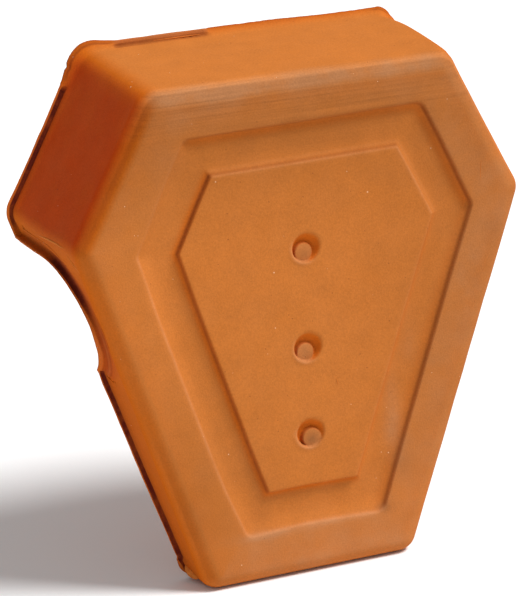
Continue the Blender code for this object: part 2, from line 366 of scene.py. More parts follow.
def lip_of_half(left):
    seed = 3.7 if left else 11.2
    tables = LEFT_LIP if left else RIGHT_LIP
    lip = {name: np.interp(travel, *zip(*places)) for name, places in tables.items()}
    torn = 0.16 if left else 0.35
    ragged = along_line(seed, 0.12, torn) + along_line(seed + 1, 0.45, torn * 0.6)
    lip["reach"] += ragged * (lip["reach"] > 0.5)
    lip["crest"] *= 1 + along_line(seed + 2, 0.06, 0.3)
    lip["trench"] *= 1 + along_line(seed + 3, 0.09, 0.3)
    lip["tear"] = along_line(seed + 7, 0.4, 0.45) + along_line(seed + 8, 1.1, 0.3)
    lip["reach"] = np.maximum(lip["reach"], 0.0)
    lip["crest"] = np.minimum(lip["crest"], lip["reach"] * 0.75)
    lip["trench"] = np.clip(lip["trench"], 0, 1.15) * np.clip(lip["reach"] / 2, 0, 1)
    return lip


for half_name, tables in (("left", LEFT_LIP), ("right", RIGHT_LIP)):
    print("the", half_name, "lip stands out by up to", max(reach for _, reach in tables["reach"]), "mm")

# %% [markdown]
# ## The relief of the front
#
# The front steps down from the rim into the sunk field and up again to the panel. A step could be the
# same all round, but a plaster mould wears: on one side the step is still sharp, on the next it runs
# out in a cove, on a third it is a soft slope. So there are three profiles for each of the two steps,
# every side takes a share of each, and the shares change softly from one side to the next.

# %% Profiles across the field, from the panel's edge outwards
FIELD_ROWS = [-1.5, -0.9, -0.5, -0.2, 0.1, 0.4, 0.75, 1.1, 1.6, 2.3, 3.2, 4.3, 5.6, 7.1, 8.7, 10.4, 12.2]
FIELD_ROWS += [14.0, 15.8, 17.4, 18.8, 20.1, 21.3, 22.4, 23.4, 24.2, 24.9, 25.4, 25.8, 26.1, 26.4, 26.7]
FIELD_ROWS += [27.0, 27.4, 27.9, 28.6]
PANEL_TOP = [(-1.5, 0.6), (-0.7, 0.63), (-0.1, 0.95), (0.5, 2.2)]
PANEL_TIGHT = PANEL_TOP + [(1.1, 3.7), (1.9, 4.5), (3.5, 4.85), (6, 5)]
PANEL_COVED = PANEL_TOP + [(1.0, 3.2), (2.3, 3.8), (5, 4.5), (9, 5)]
PANEL_SOFT = [(-1.5, 0.6), (-0.9, 0.64), (-0.2, 0.9), (0.6, 1.6)]
PANEL_SOFT += [(2.3, 3.3), (4.3, 4.3), (7.1, 4.8), (10.4, 5)]
RIM_TIGHT = [(19, 5), (23, 4.9), (24.6, 4.5), (25.4, 3.8), (26.2, 2.0), (26.8, 0.6), (27.4, 0.12), (28.6, 0)]
RIM_COVED = [(17, 5), (20, 4.75), (23, 4.1), (24.9, 3.3), (25.8, 2.3), (26.6, 0.8), (27.2, 0.15), (28.6, 0)]
RIM_SOFT = [(13, 5), (17, 4.75), (20, 4.1), (22.5, 3.0), (24.9, 1.7), (26.5, 0.8), (27.5, 0.35), (28.6, 0)]

# For the six sides, clockwise from the top: the shares of the coved and of the soft profile
PANEL_COVE = [0.0, 0.0, 0.0, 0.0, 1.0, 0.6]
PANEL_EASE = [0.9, 1.0, 1.0, 0.55, 0.0, 0.0]
RIM_COVE = [0.15, 0.4, 0.7, 0.2, 0.3, 0.1]
RIM_EASE = [0.25, 0.0, 0.0, 0.7, 0.7, 0.9]
print("rows across the field:", len(FIELD_ROWS))


def by_column(side_values, left):
    """A value for every column that changes softly from one side of the tile to the next."""
    order = [0, 5, 4, 3] if left else [0, 1, 2, 3]
    plain = np.array(side_values)[order]
    here = plain[side_index]
    before = plain[np.maximum(side_index - 1, 0)]
    values = np.where(on_arc, before + (here - before) * side_share, here)
    kernel = np.ones(7) / 7
    return np.convolve(np.pad(values, 3, mode="edge"), kernel, "valid")


def profile(across, tight, coved, soft, cove, ease):
    """The depth at one distance, mixed from three profiles by the shares of each column."""
    tight, coved, soft = (np.interp(across, *zip(*points)) for points in (tight, coved, soft))
    return tight + (coved - tight) * cove + (soft - tight) * ease


def sunk(across, left):
    """How deep the front lies at this distance outside the panel's edge, for every column."""
    if across < FIELD_WIDTH / 2:
        cove, ease = by_column(PANEL_COVE, left), by_column(PANEL_EASE, left)
        return profile(across, PANEL_TIGHT, PANEL_COVED, PANEL_SOFT, cove, ease)
    cove, ease = by_column(RIM_COVE, left), by_column(RIM_EASE, left)
    return profile(across, RIM_TIGHT, RIM_COVED, RIM_SOFT, cove, ease)


# %% [markdown]
# ## Marks for the finish
#
# A few numbers go with each point, and the finish reads them later as attributes. Crevice shade is painted
# shade: how dark the point is painted where shade falls, in a crease, a trench, an inner corner, on the
# shaded side of a step and in the gap beside a peg. Wear and highlight says how pale an edge is painted:
# partly real rubbing, partly a painted highlight where the edge faces the light. Raw says how much of the red
# pressed clay shows: the front was smoothed wet and fired to a paler skin, the side walls were not, and
# neither were the hollows beside the steps; on the shaded side of a step the raw tone is also painted in as
# the warmer colour of shade. Bloom is the greyish scum that salts left on the rim and on the rounded edges.
# The marks could be painted by hand, but the rows know already where the edges and the hollows are. The sides
# differ, so each value is given for the six, clockwise from the top.

# %% Values of the marks on the six sides
# The walls and round edges on the left lie in shade and get more of the darker, redder raw tone: partly the
# clay, partly painted shade
RAW_AND_SHADE_WALL = [0.0, 0.36, 0.36, 0.3, 0.52, 1.0]
RAW_AND_SHADE_ROUND = [0.0, 0.1, 0.1, 0.1, 0.35, 0.62]
BLOOM_RIM = [0.24, 0.38, 0.36, 0.45, 0.15, 0.22]
BLOOM_ROUND = [0.85, 0.4, 0.3, 0.2, 0.1, 0.1]
# Painted wear and highlight on the steps' lit sides, painted shade on their shaded sides, and a warm raw tone
# painted into the shaded hollows
WEAR_HIGHLIGHT_RIM_STEP = [0.0, 0.0, 0.1, 0.6, 0.45, 0.1]
WEAR_HIGHLIGHT_PANEL_STEP = [0.35, 0.4, 0.12, 0.0, 0.0, 0.0]
SHADE_RIM_STEP = [0.2, 0.7, 0.45, 0.0, 0.0, 0.0]
SHADE_PANEL_STEP = [0.3, 0.0, 0.0, 0.05, 0.45, 0.6]
WARM_SHADE_RIM_STEP = [0.3, 0.32, 0.12, 0.0, 0.0, 0.0]
WARM_SHADE_PANEL_STEP = [0.0, 0.0, 0.15, 0.42, 0.45, 0.4]
FRONT, WALLS, INSIDE = 0.0, 1.0, 2.0
MARKS = ["zone", "crevice_shade", "wear_and_highlight", "raw", "bloom"]
print("each point carries", MARKS)


def marked(points, zone, crevice_shade=0.0, wear_and_highlight=0.0, raw=0.0, bloom=0.0):
    """A row of points with its marks: everything for one ring of the skin."""
    marks = [np.broadcast_to(mark, half).astype(float) for mark in (zone, crevice_shade, wear_and_highlight, raw, bloom)]
    return np.column_stack([points, *marks])


def bump(value, middle, width):
    return math.exp(-(((value - middle) / width) ** 2))


# %% [markdown]
# ## The rows of the front
#
# These rows run from the panel's edge over the field and the rim to the round edge. Rows lie closest
# where a step is steep, so that the edge is real shape and needs no trick of the light. The right end
# of the top edge bulges a little, as if the tile had been set down on it while it was soft.

# %% Rows of the relief, the rim and the round edge
FRONT_EDGE = FACE_RADIUS / math.tan((math.pi / 2 + DRAFT) / 2)
RIM_STEPS = 9
ROUND_STEPS = 10
NONE = np.full(half, math.nan)
BULGE = 0.9
TOP_CORNER_TRAVEL = 108.5
print("rows of the front:", len(FIELD_ROWS), "in the relief,", RIM_STEPS, "on the rim,", ROUND_STEPS, "round")


def relief_rows(left):
    wear_highlight_rim, wear_highlight_panel = by_column(WEAR_HIGHLIGHT_RIM_STEP, left), by_column(WEAR_HIGHLIGHT_PANEL_STEP, left)
    shade_rim, shade_panel = by_column(SHADE_RIM_STEP, left), by_column(SHADE_PANEL_STEP, left)
    warm_shade_rim, warm_shade_panel = by_column(WARM_SHADE_RIM_STEP, left), by_column(WARM_SHADE_PANEL_STEP, left)
    rim_bloom = by_column(BLOOM_RIM, left)
    for across in FIELD_ROWS:
        radius = np.interp(across, [-1.5, 0, 2, 18, 27, 28.6], [1.2, 2.0, 2.6, 5.0, 7.0, 8.0])
        insets = RIM + (FIELD_WIDTH - across) * FIELD_STRETCH
        points = row_of_points(insets, np.full(6, radius), side_share, NONE, sunk(across, left))
        # Painted shade on the shaded side of each step
        crevice_shade = shade_panel * 0.85 * bump(across, 0.9, 0.9) + shade_rim * 0.6 * bump(across, 25.9, 0.7)
        # Painted pale wear and highlight on the lit side of each step
        wear_and_highlight = wear_highlight_rim * 0.7 * bump(across, 27.0, 1.1) + wear_highlight_panel * 0.7 * bump(across, -0.3, 0.9)
        wear_and_highlight += 0.3 * wear_highlight_panel * bump(across, 2.8, 0.7)
        # Raw tone in the hollows, painted in more strongly on the shaded side of each step as warm shade
        raw = warm_shade_rim * bump(across, 23.6, 3.2) + warm_shade_panel * bump(across, 2.0, 2.2)
        bloom = 0.12 + (rim_bloom - 0.12) * eased(across, 25.5, 27.5)
        yield marked(points, FRONT, crevice_shade, wear_and_highlight, raw, bloom)


def rim_rows(left):
    start = RIM + (FIELD_WIDTH - FIELD_ROWS[-1]) * FIELD_STRETCH
    for step in range(1, RIM_STEPS + 1):
        share = step / RIM_STEPS
        insets = start + (FRONT_EDGE - start) * share
        radii = 8.0 + (np.maximum(CORNER_RADII - FRONT_EDGE, 1.5) - 8.0) * share
        points = row_of_points(insets, radii, side_share, NONE, 0.0)
        yield marked(points, FRONT, bloom=by_column(BLOOM_RIM, left), raw=0.1 * share * share)


def stands_out(left, depth):
    """How far the right end of the top edge bulges between the front and the back."""
    if left:
        return np.zeros(half)
    near_corner = np.exp(-(((travel - TOP_CORNER_TRAVEL) / 22) ** 2))
    return BULGE * near_corner * eased(depth, 0, 16) * (1 - eased(depth, 66, 97))


def round_rows(left):
    raw_and_shade_round, raw_and_shade_wall = by_column(RAW_AND_SHADE_ROUND, left), by_column(RAW_AND_SHADE_WALL, left)
    bloom_rim, bloom_round = by_column(BLOOM_RIM, left), by_column(BLOOM_ROUND, left)
    for step in range(1, ROUND_STEPS + 1):
        share = step / ROUND_STEPS
        angle = (math.pi / 2 - DRAFT) * share
        insets = np.full(6, FRONT_EDGE - FACE_RADIUS * math.sin(angle))
        insets[3] = max(0.0, FACE_RADIUS * (1 - math.sin(angle)))
        radii = np.maximum(CORNER_RADII - insets, 1.5)
        depth = FACE_RADIUS * (1 - math.cos(angle))
        insets = insets[None, :] - stands_out(left, depth)[:, None]
        points = row_of_points(insets, radii, side_share, NONE, depth)
        raw = raw_and_shade_round * eased(share, 0.0, 0.45) + (raw_and_shade_wall - raw_and_shade_round) * eased(share, 0.45, 1.0)
        bloom = bloom_rim + (bloom_round - bloom_rim) * eased(share, 0, 0.3)
        yield marked(points, share, raw=raw, bloom=bloom * (1 - eased(share, 0.55, 1.0) * 0.85))


# %% [markdown]
# ## The rows of the walls
#
# The walls run from the round edge to the lip. Round the notch the columns swing over to meet its edge
# squarely, so that the lip's rows can follow the arc. Beside a torn lip the smoothed skin of the clay is
# gone, so the wall is rawer there, and towards the trench it is painted darker as shade. The bulging corner
# at the top right is also less round.

# %% Rows of the walls
WALL_STEPS = 27
LIP_ZONE = 10.0
LESS_ROUND = 10.0
on_lower_side = (side_index == 2) & ~on_arc
print("columns beside the notch and down to the foot:", int(on_lower_side.sum()))


def raw_near_lip(left, lip, distance):
    """How raw the wall is at a distance from its back edge: rawest where the lip was torn."""
    raw_and_shade_wall = by_column(RAW_AND_SHADE_WALL, left)
    torn = np.maximum(lip["fade"], 0.9 * lip["second"])
    return raw_and_shade_wall + 0.85 * (1 - raw_and_shade_wall) * torn * np.exp(-distance / 18)


def wall_rows(left, lip):
    start = FACE_RADIUS * (1 - math.sin(DRAFT))
    end = back_depth + way_depth * LIP_ZONE
    end_along = back_along + way_along * LIP_ZONE
    length = np.where(on_lower_side, np.hypot(end - start, end_along - front_along), end - start)
    for step in range(1, WALL_STEPS):
        share = step / WALL_STEPS
        depth = start + (end - start) * share
        along = front_along + (end_along - front_along) * share
        to_lip = LIP_ZONE + (1 - share) * length
        # Painted shade on the wall where it sinks towards the trench
        shade = lip["fade"] * np.exp(-to_lip / 8) * 0.9
        radii = CORNER_RADII.copy()
        radii[1] -= 0 if left else LESS_ROUND * math.sqrt(4 * share * (1 - share))
        insets = wall_insets(depth, stands_out(left, depth))
        points = row_of_points(insets, radii, side_share, heights(along), depth)
        yield marked(points, WALLS, shade, raw=raw_near_lip(left, lip, to_lip), bloom=0.08)


# %% [markdown]
# ## The rows of the lip
#
# A torn lip could be sculpted, but its section is the same kind of shape all along: a soft swell of the wall,
# a trench, a crest, and a face cut off square. So the section is a list of points: how far each stands out
# from the wall, how far it lies in from the back edge, how dark it is painted as shade and how pale it is
# painted as wear and highlight. Where the lip flares softly, a plain ramp takes the place of the crest and
# its trench.

# %% Rows of the lip
def lip_section(lip):
    """Points of the section: outwards, inwards from the edge, the same with no lip, crevice shade, wear and
    highlight.
    """
    reach, crest, thick, tear = (lip[name] for name in ("reach", "crest", "thick", "tear"))
    trench, swell, fade, second = (lip[name] for name in ("trench", "swell", "fade", "second"))
    none = np.zeros(half)
    edge = np.maximum(reach - crest, swell + 0.4)
    floor = thick - (thick - 0.7) * np.minimum(trench, 1)
    top = thick + tear * 0.4
    near = thick + 0.2
    dip = -0.45 * fade
    return [
        # The wall swells softly towards the lip
        (swell * 0.05, none + 10, 8.4, 0.25 * fade, 0),
        (dip * 0.25 + swell * 0.2, none + 8.9, 7.6, 0.4 * fade, 0),
        (dip * 0.4 + swell * 0.4 - 0.15 * second, none + 8.0, 6.9, 0.55 * fade + 0.1 * second, 0),
        (dip * 0.6 + swell * 0.55 - 0.25 * second, none + 7.4, 6.4, 0.65 * fade + 0.2 * second, 0),
        (dip * 0.75 + swell * 0.75 + 0.2 * second, none + 6.5, 5.8, 0.75 * fade, 0.1 * second),
        (dip * 0.9 + swell * 0.9 + 0.2 * second, none + 5.5, 5.1, 0.9 * fade, 0.1 * second),
        (dip + swell, near + 1.4, 4.5, np.maximum(0.15 * trench, fade), 0),
        (dip + swell, near + 0.8, 4.0, np.maximum(0.4 * trench, fade), 0),
        (dip + swell - 0.1 * trench, near + 0.3, 3.6, np.maximum(0.85 * trench, fade), 0),
        # The trench, and up the side of the crest
        (swell + 0.05 * trench, floor + (near - floor) * 0.5, 3.2, trench, 0),
        (swell + 0.1 * (edge - swell), floor + 0.2, 2.9, trench, 0),
        (swell + 0.5 * (edge - swell), floor, 2.5, trench, 0),
        (swell + 0.9 * (edge - swell), floor + 0.1, 2.2, trench, 0),
        (edge, floor + (top - floor) * 0.45, 1.9, 0.8 * trench, 0),
        (edge + 0.12 * crest, floor + (top - floor) * 0.9, 1.6, 0.2 * trench, 0.05),
        # Over the crest and down to the back edge
        (edge + 0.35 * (reach - edge), top, 1.3, 0.0, 0.12),
        (edge + 0.7 * (reach - edge), top - 0.1, 1.0, 0.0, 0.12),
        (edge + 0.93 * (reach - edge), top - 0.35, 0.8, 0.0, 0.1),
        (reach, top * 0.75, 0.6, 0.1, 0.0),
        (reach, none + 0.5, 0.35, 0.3, 0),
        (reach - 0.12, 0.2 + tear * 0.2, 0.15, 0.4, 0),
        (reach - 0.45, tear * 0.2, 0.0, 0.3, 0),
    ]


print("points across the lip:", len(lip_section(lip_of_half(True))))


def edge_row(into, outwards, radii):
    """A row that keeps a distance from the back edge and stands out from the wall."""
    depth = back_depth + way_depth * into
    height = heights(back_along + way_along * into)
    return row_of_points(wall_insets(depth, outwards), radii, side_share, height, depth)


def lip_rows(left, lip):
    stands = np.clip(lip["reach"] / 1.5, 0, 1)
    previous = np.full(half, LIP_ZONE + 1)
    for outwards, into, into_flat, dark, wear_highlight in lip_section(lip):
        into = into_flat + (into - into_flat) * stands
        into = into + (into_flat * 1.19 - into) * lip["flare"]
        into = np.minimum(into, previous - 0.05)
        previous = into
        ramp = lip["reach"] * np.clip(1 - into / 8.5, 0, 1) ** 2.6
        groove = lip["groove"] * np.exp(-(((into - 1.3) / 0.45) ** 2))
        ramp = ramp - 0.35 * groove
        outwards = outwards + (ramp - outwards) * lip["flare"]
        radii = CORNER_RADII[None, :] + np.maximum(outwards, 0)[:, None]
        points = edge_row(into, outwards, radii)
        height = np.clip(outwards / np.maximum(lip["reach"], 0.1), 0, 1)
        raw = raw_near_lip(left, lip, into)
        raw = raw + (0.5 - raw) * height
        # Painted shade in the trench, in the groove and under the flared edge; painted wear and highlight on
        # the crest
        dark = dark * stands * (1 - lip["flare"]) + lip["flare"] * (0.45 * height**5 + 0.6 * groove)
        wear_highlight = wear_highlight * stands * (1 - lip["flare"])
        yield marked(points, WALLS, dark, wear_highlight, raw, 0.08 + 0.5 * trimmed(left) * height)


def trimmed(left):
    """Where a wire has cut the lip flat, on the left half of the top."""
    return eased(travel, 20, 24) * (1 - eased(travel, 84, 87)) if left else np.zeros(half)


# %% [markdown]
# ## The rows behind the lip
#
# The back face is the width of the wall. From there the skin turns forward into the shell, down the
# inner wall and round the inner fillet to the back of the face, where it is left open for a fill.

# %% Rows of the back face and of the inside
INNER_STEPS = 24
INNER_RADIUS = 10.0
print("rows down the inside:", INNER_STEPS + 1)


def back_rows(lip):
    for share in (0.12, 0.3, 0.5, 0.7, 0.86, 0.95):
        outwards = lip["reach"] - 0.45 + (-WALL - lip["reach"] + 0.45) * share
        into = lip["tear"] * 0.2 * (1 - share) + (0.12 if share > 0.9 else 0.0)
        radii = CORNER_RADII + (INNER_RADIUS - CORNER_RADII) * share
        yield marked(edge_row(into, outwards, radii), INSIDE, raw=0.4, wear_and_highlight=0.25)


def inner_rows():
    edge_depth = back_depth + way_depth * 0.7
    round_start = FACE_THICKNESS + INNER_FACE_RADIUS
    missing = np.arcsin(np.clip((round_start - edge_depth) / INNER_FACE_RADIUS, 0, 0.95))
    straight = np.maximum(edge_depth - round_start, 0)
    arc = (math.pi / 2 - missing) * INNER_FACE_RADIUS
    for step in range(INNER_STEPS + 1):
        share = step / INNER_STEPS
        gone = share**0.8 * (straight + arc)
        on_wall = gone <= straight
        angle = missing + np.maximum(gone - straight, 0) / INNER_FACE_RADIUS
        depth = np.where(on_wall, edge_depth - gone, round_start - INNER_FACE_RADIUS * np.sin(angle))
        inwards = WALL + INNER_FACE_RADIUS * np.where(on_wall, 0, 1 - np.cos(angle))
        insets, radii = wall_insets(depth, -inwards), np.full(6, INNER_RADIUS)
        at_edge = row_of_points(insets, radii, side_share, heights(back_along + way_along * 0.7), depth)
        points = row_of_points(insets, radii, side_share, NONE, depth)
        points += (at_edge - points) * max(0.0, 1 - share * 2.5)
        # Painted shade where the inside turns round into the back of the face
        yield marked(points, INSIDE, 0.3 * float(bump(share, 1, 0.2)), raw=0.55, bloom=0.3)


# %% [markdown]
# ## Weaving the halves together
#
# Each half is woven on its own, because the lip and the marks differ. The left half is mirrored, and
# the two are joined into rings that go once round the tile.

# %% Weave both halves
def weave(left):
    lip = lip_of_half(left)
    parts = (relief_rows(left), rim_rows(left), round_rows(left), wall_rows(left, lip), lip_rows(left, lip))
    rows = [row for part in parts for row in part] + list(back_rows(lip)) + list(inner_rows())
    return np.array(rows)


right_half, left_half = weave(False), weave(True)
left_half[:, :, 0] *= -1
skin = np.concatenate([right_half, left_half[:, -2:0:-1]], axis=1)
row_count, column_count = skin.shape[:2]
print("rows and columns of the skin:", row_count, column_count)

# %% [markdown]
# ## Filling the panel and the inside of the face
#
# The first row leaves the panel open, and the last one leaves the inside of the face open. Each is
# filled with a sheet of small triangles. The sides of these outlines are straight, and a triangulation
# can't tell whether three points in one line lie inside or outside, so it is given an outline that
# swells a little between its corners, and the true points go back in afterwards.

# %% Fill an outline with evenly spread points
SWELL = 2.5e-6
ROW_RISE = 0.866
PANEL_SPACING = 2.1
INSIDE_SPACING = 6.0


def inside_outline(points, outline):
    """True for the points that lie inside the outline."""
    inside = np.zeros(len(points), bool)
    for start, end in zip(outline, np.roll(outline, -1, axis=0)):
        crosses = (start[1] > points[:, 1]) != (end[1] > points[:, 1])
        with np.errstate(divide="ignore", invalid="ignore"):
            where = start[0] + (points[:, 1] - start[1]) * (end[0] - start[0]) / (end[1] - start[1])
        inside ^= crosses & (points[:, 0] < where)
    return inside


def spread_points(outline, spacing):
    """Points of a triangular grid inside the outline, kept off its edge."""
    low, high = outline.min(axis=0), outline.max(axis=0)
    grid = []
    for up in range(int((high[1] - low[1]) / (spacing * ROW_RISE)) + 2):
        shift = spacing / 2 if up % 2 else 0.0
        for across in range(int((high[0] - low[0]) / spacing) + 2):
            grid.append((low[0] + across * spacing + shift, low[1] + up * spacing * ROW_RISE))
    grid = np.array(grid)
    clear = inside_outline(grid, outline)
    for point in outline:
        clear &= np.hypot(*(grid - point).T) > spacing * 0.6
    return grid[clear]


def fill(outline, spacing, rings=()):
    """Points and triangles inside an outline, with the outline's own points first."""
    count = len(outline)
    extra = spread_points(outline, spacing)
    added = []
    for centre, radii, steps in rings:
        extra = extra[np.hypot(*(extra - np.array(centre)).T) > radii[-1] + spacing * 0.6]
        added.append([centre])
        for order, radius in enumerate(radii):
            angles = 2 * math.pi * (np.arange(steps) + 0.5 * (order % 2)) / steps
            added.append(np.array(centre) + radius * np.stack([np.cos(angles), np.sin(angles)], axis=1))
    points = np.concatenate([outline, *added, extra])
    centred = points - outline.mean(axis=0)
    squares = (centred[:count] ** 2).sum(axis=1)
    centred[:count] *= 1 + SWELL * (squares.max() - squares)[:, None]
    vectors = [Vector(point) for point in centred]
    _, _, faces, origins, _, _ = geometry.delaunay_2d_cdt(vectors, [], [list(range(count))], 1, 1e-6, True)
    source = [min(origin) for origin in origins]
    return points, [[source[corner] for corner in face] for face in faces]


print("points lie", PANEL_SPACING, "mm apart in the panel and", INSIDE_SPACING, "mm apart inside")


# %% [markdown]
# ## The dimples and their pegs
#
# A dimple is a funnel whose floor sits lower than its mouth. On the floor stands a blunt peg, left by the pin
# that pushed the tile out of its mould. The pegs sit to one side, so each has a gap on its left, painted dark
# as the peg's shadow, and the lowest one leans into the wall of its funnel. The raised edge of each mouth is
# painted pale on its lower left, partly as wear and partly as a highlight.

# %% Shape of the dimples
DIMPLE_MOUTH = 10.2
DIMPLE_FLOOR = 6.6
FLOOR_SHIFT = np.array([-1.4, -3.0])
DIMPLE_DEPTH = 4.6
DIMPLES = [
    {"mouth": (-0.7, 226.4), "peg": (-2.0, 222.3), "radius": 6.9, "top": 2.4, "lean": (0.06, 0.0)},
    {"mouth": (-0.8, 159.1), "peg": (-2.2, 154.6), "radius": 6.9, "top": 2.4, "lean": (0.06, 0.0)},
    {"mouth": (-0.3, 100.0), "peg": (1.1, 95.2), "radius": 7.1, "top": 1.8, "lean": (-0.06, 0.06)},
]
RING_RADII = [1.2, 2.4, 3.5, 4.4, 5.0, 5.4, 5.7, 5.95, 6.2, 6.45, 6.7, 6.95, 7.2, 7.5, 7.9, 8.4]
RING_RADII += [9.0, 9.7, 10.5, 11.4, 12.5, 13.8]
RING_POINTS = 48
PANEL_DEPTH = 0.6


def dimple(points, form):
    """What one dimple adds at flat points: depth, and the marks of its gap's painted shadow, its edge's wear
    and highlight, and its peg.
    """
    mouth, peg = np.array(form["mouth"]), np.array(form["peg"])
    sunk_share = np.zeros(len(points))
    for _ in range(20):
        centre = mouth + FLOOR_SHIFT * sunk_share[:, None]
        sunk_share = (DIMPLE_MOUTH - np.hypot(*(points - centre).T)) / (DIMPLE_MOUTH - DIMPLE_FLOOR)
        sunk_share = np.clip(sunk_share, 0, 1)
    distance = np.hypot(*(points - mouth).T)
    away = (points - mouth) @ np.array([-0.7, -0.7]) / np.maximum(distance, 1)
    swell = -0.45 * np.exp(-(((distance - DIMPLE_MOUTH - 1.0) / 1.6) ** 2)) * (0.5 + 0.5 * away)
    slope = (eased(sunk_share, -0.15, 1.1) - eased(0.0, -0.15, 1.1)) / (1 - eased(0.0, -0.15, 1.1))
    depth = DIMPLE_DEPTH * np.maximum(slope, 0) + swell
    from_peg = np.hypot(*(points - peg).T)
    stands = 1 - eased(from_peg, form["radius"] - 1.1, form["radius"] + 0.3)
    dome = 0.35 * (1 - (from_peg / form["radius"]) ** 2)
    top = form["top"] - dome + (points - peg) @ np.array(form["lean"])
    depth -= stands * np.maximum(depth - top, 0)
    left_of_peg = (points - peg) @ np.array([-0.95, -0.3]) / np.maximum(from_peg, 1)
    # Painted shadow of the peg in its gap, strongest on the left, away from the sun
    gap = np.exp(-(((from_peg - form["radius"] + 0.1) / 0.8) ** 2)) * eased(depth, 1.2, 2.4)
    gap *= np.clip(0.3 + 0.7 * left_of_peg, 0, 1)
    # Painted wear and highlight on the lower left of the mouth's edge, the side that faces the sun
    wear_highlight = np.exp(-(((distance - DIMPLE_MOUTH - 0.5) / 1.1) ** 2)) * np.clip(away, 0, 1)
    raw = eased(sunk_share, 0, 0.35) * (1 - eased(from_peg, form["radius"], form["radius"] - 1.5))
    return {"depth": depth, "gap": gap, "wear_highlight": wear_highlight, "raw": raw, "peg": stands * (sunk_share > 0.05)}


print("each dimple is", 2 * DIMPLE_MOUTH, "mm wide at its mouth and", 2 * DIMPLE_FLOOR, "mm at its floor")

# %% [markdown]
# The panel gets small triangles, and rings of points round each peg, so that the funnels come out round.
# The inside of the face is hidden and plain, so it needs far fewer.

# %% Fill the panel with its dimples, and the inside of the face
rings = [(form["peg"], RING_RADII, RING_POINTS) for form in DIMPLES]
panel_points, panel_faces = fill(skin[0][:, :2], PANEL_SPACING, rings)
panel = {name: np.zeros(len(panel_points)) for name in ("depth", "gap", "wear_highlight", "raw", "peg")}
for form in DIMPLES:
    for name, values in dimple(panel_points, form).items():
        panel[name] += values
panel["depth"] += PANEL_DEPTH
panel = {name: values[column_count:] for name, values in panel.items()}
inside_points, inside_faces = fill(skin[-1][:, :2], INSIDE_SPACING)
print("panel points", len(panel_points), "deepest", round(float(panel["depth"].max()), 2), "mm")

# %% [markdown]
# The relief isn't square to the tile: the mould was carved by hand, and its corners wander. Each entry
# is a place on the front, how far its pull reaches, and its shift across and up, all in millimetres.

# %% Let the relief wander
NUDGES = [
    (119, 241, 36, -0.5, -4.2),
    (-119, 240, 36, 2.8, -2.8),
    (-50, 36, 28, 4.2, -2.8),
    (50, 36, 30, 0.3, -0.9),
]
KEYSTONE = 0.00012
KEYSTONE_MIDDLE = 175


def wandered(across, up, weight):
    """The places shifted by the nudges, and stretched a little in height towards the right."""
    new_across, new_up = across, up + weight * KEYSTONE * across * (up - KEYSTONE_MIDDLE)
    for x, z, reaches, shift_across, shift_up in NUDGES:
        near = weight * np.exp(-((across - x) ** 2 + (up - z) ** 2) / reaches**2)
        new_across, new_up = new_across + near * shift_across, new_up + near * shift_up
    return new_across, new_up


in_relief = np.ones((row_count, 1))
rim_share = np.arange(1, row_count - len(FIELD_ROWS) + 1) / RIM_STEPS
in_relief[len(FIELD_ROWS) :, 0] = np.clip(1 - rim_share, 0, 1)
skin[:, :, 0], skin[:, :, 1] = wandered(skin[:, :, 0].copy(), skin[:, :, 1].copy(), in_relief)
panel_points = np.stack(wandered(panel_points[:, 0], panel_points[:, 1], 1.0), axis=1)
print("the relief's corners wander by up to", round(max(math.hypot(*nudge[3:]) for nudge in NUDGES), 1), "mm")

# %% [markdown]
# ## Putting the mesh together
#
# The woven rows give quads, and the two fills give triangles that share the first and last rows. A skin
# without a hole has exactly two faces at every edge, so the print below should say 0 open edges.

# %% Join the rows and the fills
ring = np.arange(column_count)
following = (ring + 1) % column_count
quads = []
for row in range(row_count - 1):
    first, second = row * column_count, (row + 1) * column_count
    quads += np.column_stack([first + ring, second + ring, second + following, first + following]).tolist()


def renumbered(faces, border_start, own_start):
    """A fill's faces, numbered for the whole mesh: its border lies in a row, the rest comes later."""
    shift = own_start - column_count
    return [
        [corner + border_start if corner < column_count else corner + shift for corner in face]
        for face in faces
    ]


woven_count = row_count * column_count
panel_extra = len(panel_points) - column_count
inside_extra = len(inside_points) - column_count
faces = quads + renumbered(panel_faces, 0, woven_count)
faces += renumbered(inside_faces, woven_count - column_count, woven_count + panel_extra)

panel_rows = np.zeros((panel_extra, 3 + len(MARKS)))
panel_rows[:, :2] = panel_points[column_count:]
panel_rows[:, 2] = panel["depth"]
# The dimples' painted shadow, and their painted wear and highlight
panel_rows[:, 4] = panel["gap"] * 0.35
panel_rows[:, 5] = panel["wear_highlight"] * 0.45
panel_rows[:, 6] = panel["raw"] * 0.5
panel_rows[:, 7] = 0.1 + panel["peg"] * 0.3
inside_rows = np.zeros((inside_extra, 3 + len(MARKS)))
inside_rows[:, :2] = inside_points[column_count:]
inside_rows[:, 2:4] = FACE_THICKNESS, INSIDE
inside_rows[:, 6:8] = 0.5, 0.3
everything = np.concatenate([skin.reshape(woven_count, -1), panel_rows, inside_rows])
places = np.column_stack([everything[:, 0], everything[:, 2] + FACE_Y, everything[:, 1]])
marks = dict(zip(MARKS, everything[:, 3:].T))

tile_mesh = bpy.data.meshes.new("clay_tile_skin")
tile_mesh.from_pydata((places * MM).tolist(), [], faces)
bm = bmesh.new()
bm.from_mesh(tile_mesh)
bmesh.ops.recalc_face_normals(bm, faces=bm.faces)
open_edges = sum(len(edge.link_faces) != 2 for edge in bm.edges)
print("faces", len(bm.faces), "open edges", open_edges, "litres", round(bm.calc_volume() * 1000, 3))
bm.to_mesh(tile_mesh)
bm.free()

# %% [markdown]
# ## Traces of handling
#
# The clay was soft when it was handled, so nothing on it is quite flat. Every point is moved a little
# along its normal by slow noise, least on the moulded front, more on the walls, most inside, where
# fingers pressed the clay into the mould. The foot stays flat, because the tile stands on it.


